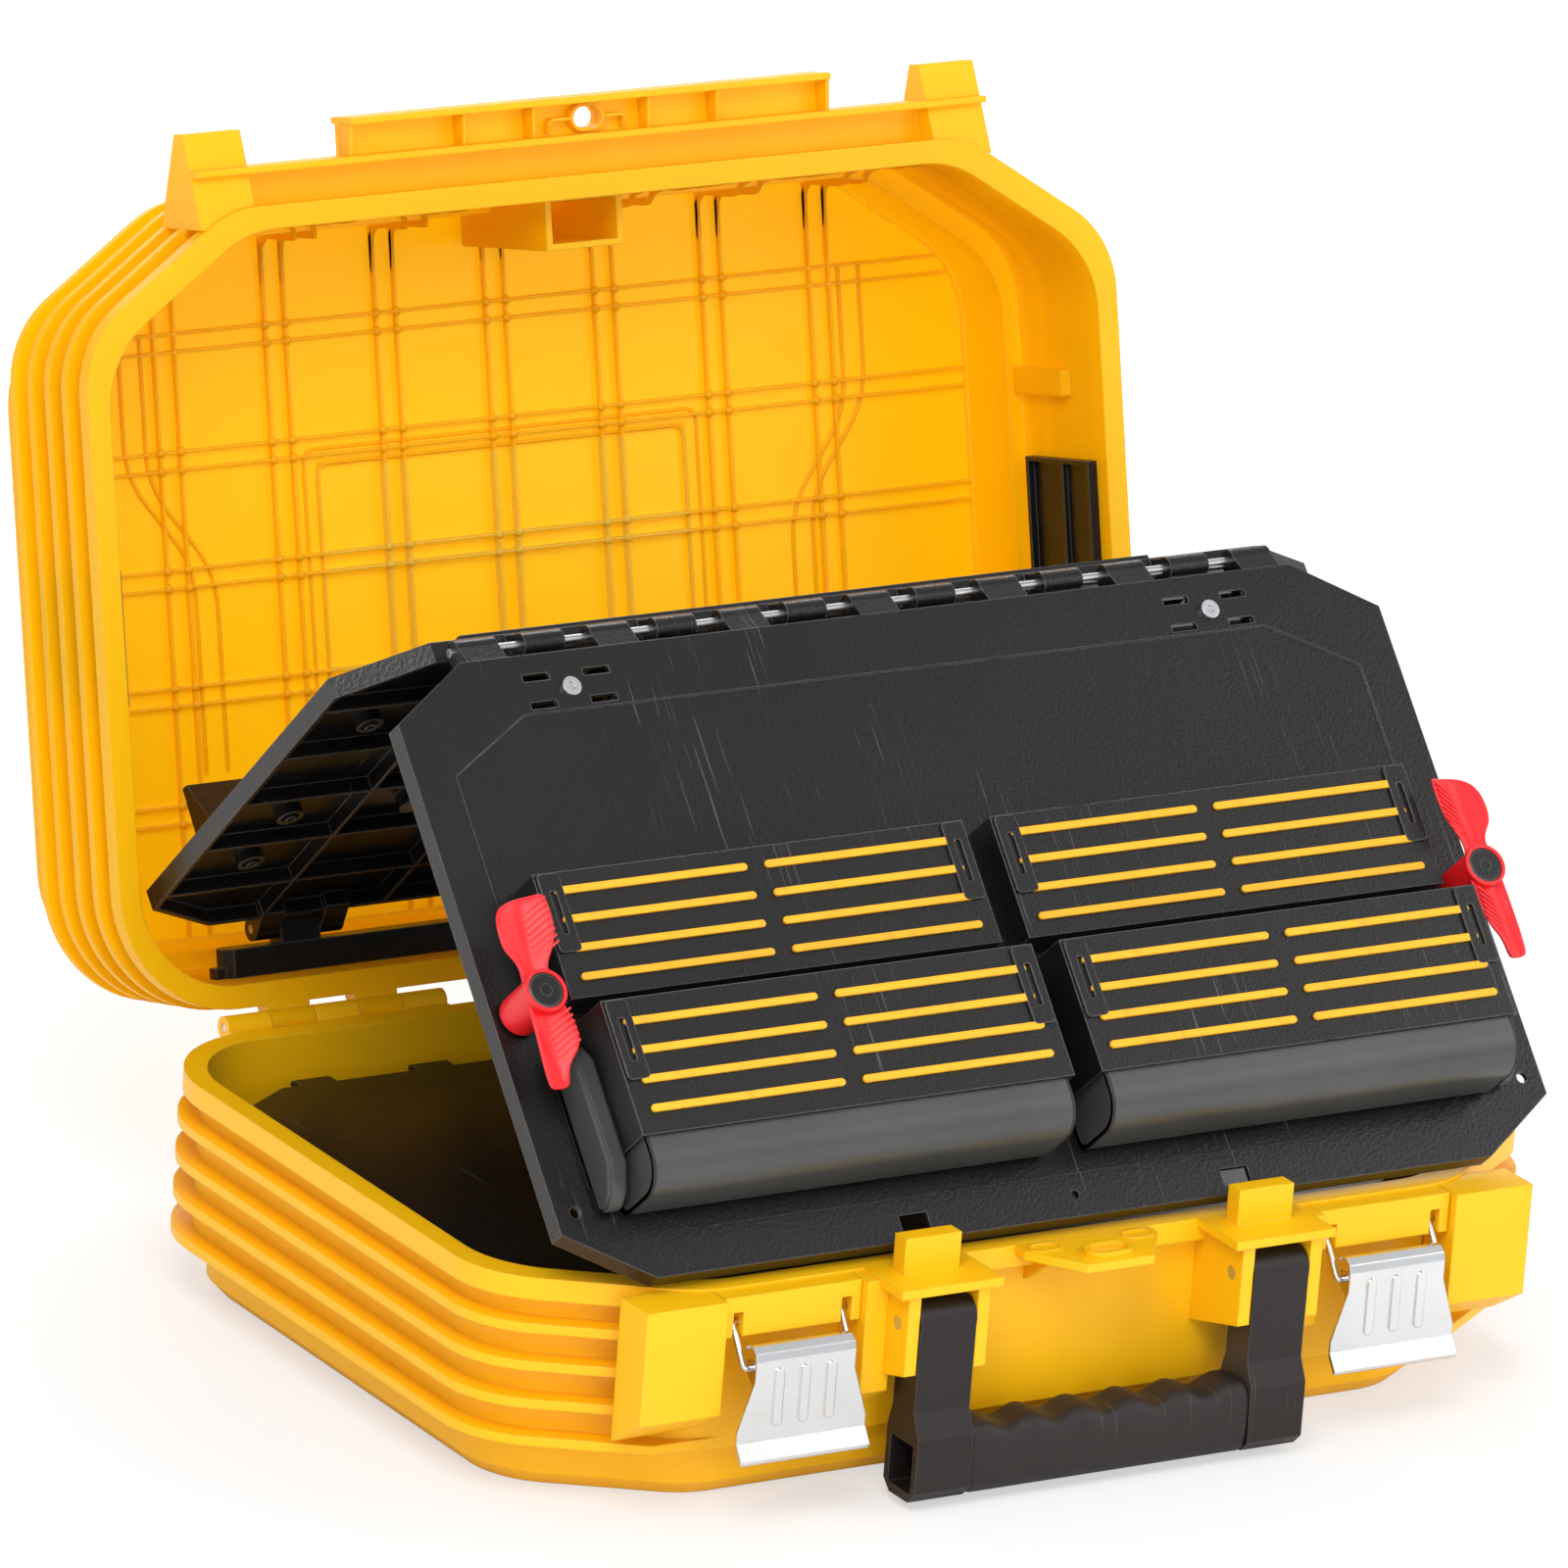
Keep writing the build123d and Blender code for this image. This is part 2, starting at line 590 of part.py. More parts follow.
with BuildPart() as lid_shell:
    with BuildSketch(shut_plane.offset(RUNNING_GAP)):
        case_outline(FIN_REACH, lid_centre)
    extrude(amount=LID_CROWN_START - RUNNING_GAP)
    with BuildSketch(shut_plane.offset(LID_CROWN_START)):
        case_outline(LID_CROWN_INSET, lid_centre)
    extrude(amount=LID_HEIGHT - LID_CROWN_START)
    chamfer(faces().sort_by(Axis.Z)[-1].edges(), LID_CROWN_CHAMFER)
    for k in range(FIN_COUNT):
        with BuildSketch(shut_plane.offset(LID_FIN_START + LID_FIN_PITCH * k)):
            case_outline(0, lid_centre)
        extrude(amount=FIN_THICK)
    with BuildSketch(shut_plane.offset(RUNNING_GAP)):
        case_outline(1.5, lid_centre)
    extrude(amount=LID_RIM_HEIGHT)
    lid_block((-CATCH_OUTER, CATCH_OUTER), (outline_front - 12, STRIP_AHEAD), (17, 20))
    lid_block((-CATCH_OUTER, CATCH_OUTER), (STRIP_AHEAD - 3, STRIP_AHEAD), (4, 20))
    lid_block((-FLANGE_HALF, FLANGE_HALF), (outline_front - 12, FLANGE_AHEAD), (17, 21))
    lid_block((-FLANGE_HALF, FLANGE_HALF), (FLANGE_AHEAD - 3, FLANGE_AHEAD), (6, 24))
    for left, right in both_ways(CATCH_INNER, CATCH_OUTER):
        plane_profile(
            shut_plane,
            [
                (-outline_front + 10, 2),
                (-CATCH_AHEAD, 14),
                (-CATCH_AHEAD, 22),
                (-outline_front + 10, 38),
            ],
            left,
            right,
        )
    with BuildSketch(shut_plane) as eye:
        with Locations((0, -EYE_AHEAD)):
            SlotOverall(14, 2 * EYE_RADIUS)
    extrude(eye.sketch, amount=40, mode=Mode.SUBTRACT)
    for left, right in hinge_slots(1, HINGE_KNUCKLES):
        plane_profile(
            shut_plane,
            [
                (0, 0),
                (0, HINGE_KNUCKLE_RADIUS),
                (-HINGE_BEHIND - FIN_REACH - 1, 14),
                (-HINGE_BEHIND - FIN_REACH - 1, RUNNING_GAP),
            ],
            left,
            right,
        )
        cross_rod(0, 0, left, right, HINGE_KNUCKLE_RADIUS)
    for left, right in hinge_slots(0, HINGE_KNUCKLES):
        with BuildSketch(Plane.YZ.offset(left - RUNNING_GAP)) as relief:
            Circle(HINGE_KNUCKLE_RADIUS + RUNNING_GAP)
        extrude(relief.sketch, amount=right - left + 2 * RUNNING_GAP, mode=Mode.SUBTRACT)
    for centre in HINGE_CENTRES:
        half = (HINGE_KNUCKLE_LENGTH + RUNNING_GAP) * HINGE_KNUCKLES / 2
        cross_hole(0, 0, centre - half, centre + half, HINGE_PIN_RADIUS + PIN_CLEARANCE)
    with BuildSketch(shut_plane.offset(-5)) as mouth:
        case_outline(INNER_INSET, lid_centre)
    extrude(mouth.sketch, amount=LID_CROWN_START - WALL + 5, mode=Mode.SUBTRACT)
    with BuildSketch(shut_plane.offset(10)) as hollow:
        case_outline(floor_inset, lid_centre)
    extrude(hollow.sketch, amount=LID_INNER_DEPTH - RIB_HEIGHT - 10, mode=Mode.SUBTRACT)
    with BuildSketch(shut_plane.offset(LID_INNER_DEPTH - RIB_HEIGHT)):
        case_outline(floor_inset + RIB_THICK, lid_centre)
        lid_grid()
    extrude(amount=RIB_HEIGHT, mode=Mode.SUBTRACT)
    with BuildSketch(shut_plane.offset(LID_INNER_DEPTH)):
        with Locations((0, -(RECESS_NEAR + RECESS_FAR) / 2)):
            Rectangle(2 * RECESS_HALF, RECESS_FAR - RECESS_NEAR)
        lid_grid()
    extrude(amount=RECESS_DEPTH - 0.5, mode=Mode.SUBTRACT)
    lid_block((-20, 20), (326, outline_front - INNER_INSET + 1), (20, 96))
    lid_block((-17, 17), (329, outline_front - INNER_INSET - 2), (15, 92), Mode.SUBTRACT)
    for left, right in both_ways(inner_x - 5, inner_x + 1):
        for u in (131, 241):
            lid_block((left, right), (u - 6, u + 6), (28, 68))
finish(lid_plane.location * lid_shell.part, "lid_shell")

with BuildPart() as hinge_pins:
    for centre in HINGE_CENTRES:
        half = (HINGE_KNUCKLE_LENGTH + RUNNING_GAP) * HINGE_KNUCKLES / 2 - 0.5
        cross_rod(HINGE_Y, HINGE_Z, centre - half, centre + half, HINGE_PIN_RADIUS)
finish(hinge_pins.part, "lid_hinge_pins")


# ---------------------------------------------------------- lid clip sockets
SOCKET_NEAR = 146.0
SOCKET_FAR = 206.0
SOCKET_LOW = 9.0
SOCKET_HIGH = 62.0
SOCKET_REACH = 5.0
for side, name in ((-1, "left"), (1, "right")):
    with BuildPart() as socket:
        limits = sorted((side * inner_x, side * (inner_x - SOCKET_REACH)))
        hole = sorted((side * (inner_x - 1.5), side * (inner_x - SOCKET_REACH - 1)))
        lid_block(limits, (SOCKET_NEAR, SOCKET_FAR), (SOCKET_LOW, SOCKET_HIGH))
        lid_block(hole, (SOCKET_NEAR + 2, SOCKET_FAR - 2), (SOCKET_LOW + 2, SOCKET_HIGH - 2), Mode.SUBTRACT)
        web = sorted((side * (inner_x - 1), side * (inner_x - SOCKET_REACH + 1)))
        lid_block(web, (SOCKET_NEAR + 1, SOCKET_FAR - 1), (32, 34))
    finish(lid_plane.location * socket.part, f"lid_clip_socket_{name}")


# ------------------------------------------------------------ rear pivot bar
BAR_HALF = 205.0
BAR_LOW = 22.0
BAR_HIGH = 35.0
PIVOT_CENTRES = (-165.0, -55.0, 55.0, 165.0)
PIVOT_KNUCKLE = 20.0
PIVOT_OUTER = 12.0
with BuildPart() as pivot_bar:
    lid_block((-BAR_HALF, BAR_HALF), (inner_rear, PIVOT_FROM_HINGE - 7), (BAR_LOW, BAR_HIGH))
    chamfer(edges().filter_by(Axis.Y), 4)
    for left, right in both_ways(BAR_HALF - 6, BAR_HALF + 4):
        lid_block((left, right), (inner_rear, inner_rear + 5), (BAR_LOW + 3, BAR_LOW + 9))
    for centre in PIVOT_CENTRES:
        lid_block(
            (centre - PIVOT_KNUCKLE / 2, centre + PIVOT_KNUCKLE / 2),
            (PIVOT_FROM_HINGE - 8, PIVOT_FROM_HINGE),
            (PIVOT_DEPTH - KNUCKLE_RADIUS, PIVOT_DEPTH + KNUCKLE_RADIUS),
        )
        cross_rod(
            -PIVOT_FROM_HINGE,
            PIVOT_DEPTH,
            centre - PIVOT_KNUCKLE / 2,
            centre + PIVOT_KNUCKLE / 2,
            KNUCKLE_RADIUS,
        )
        cross_hole(
            -PIVOT_FROM_HINGE,
            PIVOT_DEPTH,
            centre - PIVOT_KNUCKLE / 2,
            centre + PIVOT_KNUCKLE / 2,
            RIDGE_ROD_RADIUS + PIN_CLEARANCE,
        )
finish(lid_plane.location * pivot_bar.part, "rear_pivot_bar")


# --------------------------------------------------------- ridge of the tent
RIDGE_KNUCKLE = 20.0
PANEL_EDGE = 8.5
PANEL_KNEE = 14.0
FRAME_RIB = 1.6
ridge_pitch = (RIDGE_SPAN - RIDGE_KNUCKLE) / (RIDGE_KNUCKLES - 1)
ridge_centres = [-RIDGE_SPAN / 2 + RIDGE_KNUCKLE / 2 + ridge_pitch * k for k in range(RIDGE_KNUCKLES)]
seat = PANEL_STAND - BORDER_STEP


def panel_knuckle(plane, way, centre, along=0.0, length=RIDGE_KNUCKLE):
    """A hinge knuckle with the web that carries it to the edge of a panel."""
    left = centre - length / 2
    plane_profile(
        plane,
        [
            (along, -KNUCKLE_RADIUS),
            (along, KNUCKLE_RADIUS),
            (along + way * 10, PANEL_STAND),
            (along + way * PANEL_KNEE, PANEL_STAND),
            (along + way * PANEL_KNEE, RUNNING_GAP),
        ],
        left,
        left + length,
    )
    side = Plane(
        origin=plane.from_local_coords(Vector(left, along, 0)),
        x_dir=plane.y_dir,
        z_dir=plane.x_dir,
    )
    with BuildSketch(side) as section:
        Circle(KNUCKLE_RADIUS)
    extrude(section.sketch, amount=length)


def panel_bore(plane, along, x_from, x_to, radius):
    """A hole for the rod of a panel hinge."""
    side = Plane(
        origin=plane.from_local_coords(Vector(x_from, along, 0)),
        x_dir=plane.y_dir,
        z_dir=plane.x_dir,
    )
    with BuildSketch(side) as section:
        Circle(radius)
    extrude(section.sketch, amount=x_to - x_from, mode=Mode.SUBTRACT)


# --------------------------------------------------------------- front panel
FRAME_SLOTS_X = 164.0
WINDOW_X = 82.0
front_near = -FRONT_PANEL_LENGTH
with BuildPart() as front_panel:
    with BuildSketch(front_plane.offset(RUNNING_GAP)):
        octagon(PANEL_WIDTH, front_near, -PANEL_EDGE, PANEL_CUT_X, PANEL_CUT_Y)
        offset(amount=-PANEL_RIM, mode=Mode.SUBTRACT)
        for k in range(-3, 4):
            with Locations((k * 62, front_near / 2)):
                Rectangle(FRAME_RIB, FRONT_PANEL_LENGTH - 20)
        for along in (-70, -140, -210):
            with Locations((0, along)):
                Rectangle(PANEL_WIDTH - 3, FRAME_RIB)
    extrude(amount=PANEL_STAND - PANEL_PLATE)
    with BuildSketch(front_plane.offset(PANEL_STAND - PANEL_PLATE)):
        octagon(PANEL_WIDTH, front_near, -PANEL_EDGE, PANEL_CUT_X, PANEL_CUT_Y)
        for side in (-1, 1):
            with Locations((side * 242, -262)):
                Circle(2.6, mode=Mode.SUBTRACT)
            with Locations((side * WINDOW_X, front_near + 8)):
                Rectangle(14, 8, mode=Mode.SUBTRACT)
            with Locations((side * FRAME_SLOTS_X, -26)):
                with GridLocations(30, 13, 2, 2):
                    Rectangle(13, 3.2, mode=Mode.SUBTRACT)
        with Locations((0, front_near + 10)):
            Circle(2, mode=Mode.SUBTRACT)
    extrude(amount=PANEL_PLATE)
    with BuildSketch(front_plane.offset(seat)):
        octagon(PANEL_WIDTH - 2 * BORDER_WIDTH, front_near + BORDER_WIDTH, -36, 42, 24)
    extrude(amount=BORDER_STEP + 1, mode=Mode.SUBTRACT)
    for centre in ridge_centres[::2]:
        panel_knuckle(front_plane, -1, centre)
    for side in (-1, 1):
        with BuildSketch(front_plane.offset(PANEL_STAND - 1)) as post:
            with Locations((side * CLIP_X, -CLIP_FROM_RIDGE)):
                Circle(CLIP_BORE_RADIUS)
        extrude(post.sketch, amount=CLIP_UNDER + CLIP_THICK + 1.6)
    panel_bore(front_plane, 0, -RIDGE_SPAN / 2 - 1, RIDGE_SPAN / 2 + 1, RIDGE_ROD_RADIUS)
finish(front_panel.part, "front_panel")

with BuildPart() as ridge_rod:
    cross_rod(RIDGE_Y, RIDGE_Z, -RIDGE_SPAN / 2 - 2, RIDGE_SPAN / 2 + 2, RIDGE_ROD_RADIUS)
finish(ridge_rod.part, "ridge_rod")

with BuildPart() as panel_bolts:
    with BuildSketch(front_plane.offset(PANEL_STAND)):
        with Locations((-FRAME_SLOTS_X, -26), (FRAME_SLOTS_X, -26)):
            Circle(4.4)
    extrude(amount=2.2)
    with BuildSketch(front_plane.offset(PANEL_STAND + 1.2)):
        with Locations((-FRAME_SLOTS_X, -26), (FRAME_SLOTS_X, -26)):
            RegularPolygon(2, 6)
    extrude(amount=2, mode=Mode.SUBTRACT)
finish(panel_bolts.part, "panel_bolts")


# ---------------------------------------------------------------- rear panel
LEDGE_HALF = 214.0
LEDGE_FROM_RIDGE = 214.0
LEDGE_REACH = 48.0
REAR_POCKET_HALF = 178.0
REAR_POCKET_TOP = 40.0
REAR_POCKET_LENGTH = 70.0
REAR_POCKET_REACH = 16.0
pivot_side = ridge_to_pivot - PANEL_EDGE - 0.5
with BuildPart() as rear_panel:
    with BuildSketch(rear_plane.offset(RUNNING_GAP)):
        octagon(PANEL_WIDTH, PANEL_EDGE, pivot_side, PANEL_CUT_X, PANEL_CUT_Y)
        offset(amount=-PANEL_RIM, mode=Mode.SUBTRACT)
        for k in range(-3, 4):
            with Locations((k * 62, ridge_to_pivot / 2)):
                Rectangle(FRAME_RIB, ridge_to_pivot - 24)
        for along in (48, 92, 136, 180, 224):
            with Locations((0, along)):
                Rectangle(PANEL_WIDTH - 3, FRAME_RIB)
        for side in (-1, 1):
            for along in (70, 158):
                with Locations((side * 156, along)):
                    Circle(6)
    extrude(amount=PANEL_STAND - PANEL_PLATE)
    with BuildSketch(rear_plane.offset(PANEL_STAND - PANEL_PLATE)):
        octagon(PANEL_WIDTH, PANEL_EDGE, pivot_side, PANEL_CUT_X, PANEL_CUT_Y)
        for side in (-1, 1):
            with Locations((side * FRAME_SLOTS_X, 24)):
                with GridLocations(30, 9, 2, 2):
                    Rectangle(13, 3.2, mode=Mode.SUBTRACT)
    extrude(amount=PANEL_PLATE)
    for centre in ridge_centres[1::2]:
        panel_knuckle(rear_plane, 1, centre)
    for centre in PIVOT_CENTRES:
        for side in (-1, 1):
            middle = centre + side * (PIVOT_KNUCKLE / 2 + RUNNING_GAP + PIVOT_OUTER / 2)
            panel_knuckle(rear_plane, -1, middle, ridge_to_pivot, PIVOT_OUTER)
    panel_bore(
        rear_plane,
        0,
        -RIDGE_SPAN / 2,
        RIDGE_SPAN / 2,
        RIDGE_ROD_RADIUS + PIN_CLEARANCE,
    )
    panel_bore(rear_plane, ridge_to_pivot, -BAR_HALF, BAR_HALF, RIDGE_ROD_RADIUS)
finish(rear_panel.part, "rear_panel")

with BuildPart() as pivot_rod:
    for centre in PIVOT_CENTRES:
        half = PIVOT_KNUCKLE / 2 + RUNNING_GAP + PIVOT_OUTER
        cross_rod(pivot.Y, pivot.Z, centre - half, centre + half, RIDGE_ROD_RADIUS)
finish(pivot_rod.part, "pivot_rods")

with BuildPart() as rear_ledge:
    plane_profile(
        rear_plane,
        [
            (LEDGE_FROM_RIDGE, PANEL_STAND),
            (LEDGE_FROM_RIDGE + 22, PANEL_STAND + LEDGE_REACH),
            (LEDGE_FROM_RIDGE + 26, PANEL_STAND + LEDGE_REACH),
            (LEDGE_FROM_RIDGE + 8, PANEL_STAND + 3),
            (LEDGE_FROM_RIDGE + 30, PANEL_STAND + 3),
            (LEDGE_FROM_RIDGE + 30, PANEL_STAND),
        ],
        -LEDGE_HALF,
        LEDGE_HALF,
    )
    for side in (-1, 1):
        plane_profile(
            rear_plane,
            [
                (LEDGE_FROM_RIDGE, PANEL_STAND),
                (LEDGE_FROM_RIDGE + 22, PANEL_STAND + LEDGE_REACH),
                (LEDGE_FROM_RIDGE + 26, PANEL_STAND + LEDGE_REACH),
                (LEDGE_FROM_RIDGE + 30, PANEL_STAND),
            ],
            side * LEDGE_HALF - 1.5,
            side * LEDGE_HALF + 1.5,
        )
finish(rear_ledge.part, "rear_ledge")


# ------------------------------------------------------- pockets and strips
def pocket(plane, x_limits, along, reach, floor):
    """A pocket on a panel, open towards the ridge."""
    inside = (x_limits[0] + POCKET_WALL, x_limits[1] - POCKET_WALL)
    plane_block(plane, x_limits, along, (seat, seat + reach))
    plane_block(plane, inside, floor, (seat + POCKET_WALL, seat + reach - POCKET_WALL), Mode.SUBTRACT)


def strip_field(plane, x_limits, start, height):
    """Two columns of raised grip strips on the face of a pocket."""
    middle = (x_limits[0] + x_limits[1]) / 2
    along = start - STRIP_PITCH * (STRIP_ROWS - 1) / 2
    with BuildSketch(plane.offset(height)) as bars:
        with Locations((middle, along)):
            with GridLocations(STRIP_LENGTH + STRIP_COLUMN_GAP, STRIP_PITCH, 2, STRIP_ROWS):
                SlotOverall(STRIP_LENGTH, STRIP_WIDTH)
    extrude(bars.sketch, amount=STRIP_RISE)


for side, name in ((-1, "left"), (1, "right")):
    limits = sorted((side * POCKET_GAP / 2, side * (POCKET_GAP / 2 + POCKET_WIDTH)))
    upper = (-UPPER_POCKET_TOP - UPPER_POCKET_LENGTH, -UPPER_POCKET_TOP)
    lower = (-LOWER_POCKET_TOP - LOWER_POCKET_LENGTH, -LOWER_POCKET_TOP)
    with BuildPart() as upper_pocket:
        pocket(
            front_plane,
            limits,
            upper,
            UPPER_POCKET_REACH,
            (upper[0] + POCKET_WALL, upper[1] + 1),
        )
    finish(upper_pocket.part, f"pocket_upper_{name}")
    with BuildPart() as lower_pocket:
        pocket(
            front_plane,
            limits,
            lower,
            LOWER_POCKET_REACH,
            (lower[0] - 1, lower[1] + 1),
        )
    finish(lower_pocket.part, f"pocket_lower_{name}")
    with BuildPart() as tray:
        outer = (limits[0] + POCKET_WALL + 0.5, limits[1] - POCKET_WALL - 0.5)
        inner = (outer[0] + 1.6, outer[1] - 1.6)
        top = lower[1] - 4
        low_z = seat + POCKET_WALL
        high_z = seat + LOWER_POCKET_REACH - POCKET_WALL - 0.5
        plane_block(front_plane, outer, (top - TRAY_LENGTH, top), (low_z, high_z))
        plane_block(
            front_plane,
            inner,
            (top - TRAY_LENGTH + 1.6, top + 1),
            (low_z + 1.6, high_z - 1.6),
            Mode.SUBTRACT,
        )
    finish(tray.part, f"tool_tray_{name}")
    with BuildPart() as upper_strips:
        strip_field(
            front_plane,
            limits,
            -UPPER_POCKET_TOP - 9,
            seat + UPPER_POCKET_REACH,
        )
    finish(upper_strips.part, f"strips_upper_{name}")
    with BuildPart() as lower_strips:
        strip_field(
            front_plane,
            limits,
            -LOWER_POCKET_TOP - 11,
            seat + LOWER_POCKET_REACH,
        )
    finish(lower_strips.part, f"strips_lower_{name}")

with BuildPart() as rear_pocket:
    plane_block(
        rear_plane,
        (-REAR_POCKET_HALF, REAR_POCKET_HALF),
        (REAR_POCKET_TOP, REAR_POCKET_TOP + REAR_POCKET_LENGTH),
        (PANEL_STAND, PANEL_STAND + REAR_POCKET_REACH),
    )
    plane_block(
        rear_plane,
        (-REAR_POCKET_HALF + POCKET_WALL, REAR_POCKET_HALF - POCKET_WALL),
        (REAR_POCKET_TOP - 1, REAR_POCKET_TOP + REAR_POCKET_LENGTH - POCKET_WALL),
        (PANEL_STAND + POCKET_WALL, PANEL_STAND + REAR_POCKET_REACH - POCKET_WALL),
        Mode.SUBTRACT,
    )
finish(rear_pocket.part, "rear_pocket")


# --------------------------------------------------------------- panel clips
WING_HALF = 9.6
WING_RIDGES = 5
clip_low = PANEL_STAND + CLIP_UNDER
for side, name in ((-1, "left"), (1, "right")):
    centre = (side * CLIP_X, -CLIP_FROM_RIDGE)
    with BuildPart() as clip:
        with BuildSketch(front_plane.offset(PANEL_STAND + RUNNING_GAP)) as hub:
            with Locations(centre):
                Circle(CLIP_HUB_RADIUS)
        extrude(hub.sketch, amount=CLIP_UNDER + CLIP_THICK - RUNNING_GAP)
        with BuildSketch(front_plane.offset(clip_low)) as wings:
            with Locations(centre):
                SlotOverall(2 * CLIP_WING_LENGTH - 4, 2 * WING_HALF, rotation=90)
        extrude(wings.sketch, amount=CLIP_THICK)
        for end in (-1, 1):
            for k in range(WING_RIDGES):
                along = centre[1] + end * (14 + k * 5)
                plane_block(
                    front_plane,
                    (centre[0] - WING_HALF + 1, centre[0] + WING_HALF - 1),
                    (along - 0.9, along + 0.9),
                    (clip_low + CLIP_THICK - 0.5, clip_low + CLIP_THICK + 1.4),
                )
        with BuildSketch(front_plane.offset(PANEL_STAND)) as bore:
            with Locations(centre):
                Circle(CLIP_BORE_RADIUS + PIN_CLEARANCE)
        extrude(bore.sketch, amount=CLIP_UNDER + CLIP_THICK + 1, mode=Mode.SUBTRACT)
    finish(clip.part, f"panel_clip_{name}")
    with BuildPart() as cap:
        with BuildSketch(front_plane.offset(PANEL_STAND + CLIP_UNDER + CLIP_THICK + 0.6)):
            with Locations(centre):
                Circle(6.4)
        extrude(amount=3.4)
        chamfer(faces().sort_by(Axis(front_plane.origin, front_plane.z_dir))[-1].edges(), 0.9)
    finish(cap.part, f"clip_cap_{name}")


# -------------------------------------------------------------------- handle
HANDLE_TOP_RADIUS = 9.0
ELBOW_TOP = 44.0
CORE_LOW = 12.0
CORE_HIGH = 29.0
arm_inner = HANDLE_ARM_X - HANDLE_ARM_WIDTH / 2
arm_outer = HANDLE_ARM_X + HANDLE_ARM_WIDTH / 2
handle_low = HANDLE_PIVOT_Z - HANDLE_BELOW
grip_front = handle_y - GRIP_DEPTH / 2 - 1
grip_back = grip_front + GRIP_DEPTH
with BuildPart() as handle_frame:
    for side in (-1, 1):
        limits = sorted((side * arm_inner, side * arm_outer))
        cross_rod(handle_y, HANDLE_PIVOT_Z, *limits, HANDLE_TOP_RADIUS)
        side_profile(
            [
                (handle_y - HANDLE_TOP_RADIUS + 0.4, HANDLE_PIVOT_Z),
                (handle_y + HANDLE_TOP_RADIUS - 0.4, HANDLE_PIVOT_Z),
                (handle_y + HANDLE_ARM_DEPTH / 2, ELBOW_TOP),
                (grip_back, ELBOW_TOP - 10),
                (grip_back, handle_low + 5),
                (grip_back - 5, handle_low),
                (grip_front + 5, handle_low),
                (grip_front, handle_low + 5),
                (grip_front, ELBOW_TOP - 10),
                (handle_y - HANDLE_ARM_DEPTH / 2, ELBOW_TOP),
            ],
            *limits,
        )
    for side in (-1, 1):
        hollow = sorted((side * (arm_inner + 12), side * (arm_outer + 2)))
        with Locations(
            (
                sum(hollow) / 2,
                (grip_front + grip_back) / 2,
                (handle_low + ELBOW_TOP) / 2 - 5,
            )
        ):
            Box(hollow[1] - hollow[0], GRIP_DEPTH - 7, 22, mode=Mode.SUBTRACT)
        cross_hole(
            handle_y,
            HANDLE_PIVOT_Z,
            *sorted((side * arm_inner, side * arm_outer)),
            HANDLE_PIN_RADIUS + PIN_CLEARANCE,
        )
    bar_between(
        -arm_inner - 1,
        arm_inner + 1,
        CORE_LOW,
        CORE_HIGH,
        grip_back - 6,
        grip_front + 6,
    )
finish(handle_frame.part, "handle_frame")

with BuildPart() as handle_grip:
    with BuildSketch(Plane.YZ.offset(-arm_inner)) as sleeve:
        with Locations(((grip_front + grip_back) / 2, handle_low + GRIP_HEIGHT / 2)):
            RectangleRounded(GRIP_DEPTH, GRIP_HEIGHT, 7)
    extrude(sleeve.sketch, amount=2 * arm_inner)
    with BuildSketch(Plane.XZ.offset(-grip_back - 1)) as waves:
        for k in range(GRIP_GROOVES):
            x = (k - (GRIP_GROOVES - 1) / 2) * 25.5
            with Locations((x, handle_low + GRIP_HEIGHT + 11)):
                Circle(15)
    extrude(waves.sketch, amount=GRIP_DEPTH + 2, mode=Mode.SUBTRACT)
    with Locations((0, (grip_front + grip_back) / 2, (CORE_LOW + CORE_HIGH) / 2)):
        Box(2 * arm_inner + 2, GRIP_DEPTH - 12, CORE_HIGH - CORE_LOW, mode=Mode.SUBTRACT)
finish(handle_grip.part, "handle_grip")

with BuildPart() as handle_pins:
    for side in (-1, 1):
        half = HANDLE_ARM_WIDTH / 2 + ARM_PLAY + CHEEK
        cross_rod(
            handle_y,
            HANDLE_PIVOT_Z,
            side * HANDLE_ARM_X - half,
            side * HANDLE_ARM_X + half,
            HANDLE_PIN_RADIUS,
        )
finish(handle_pins.part, "handle_pins")


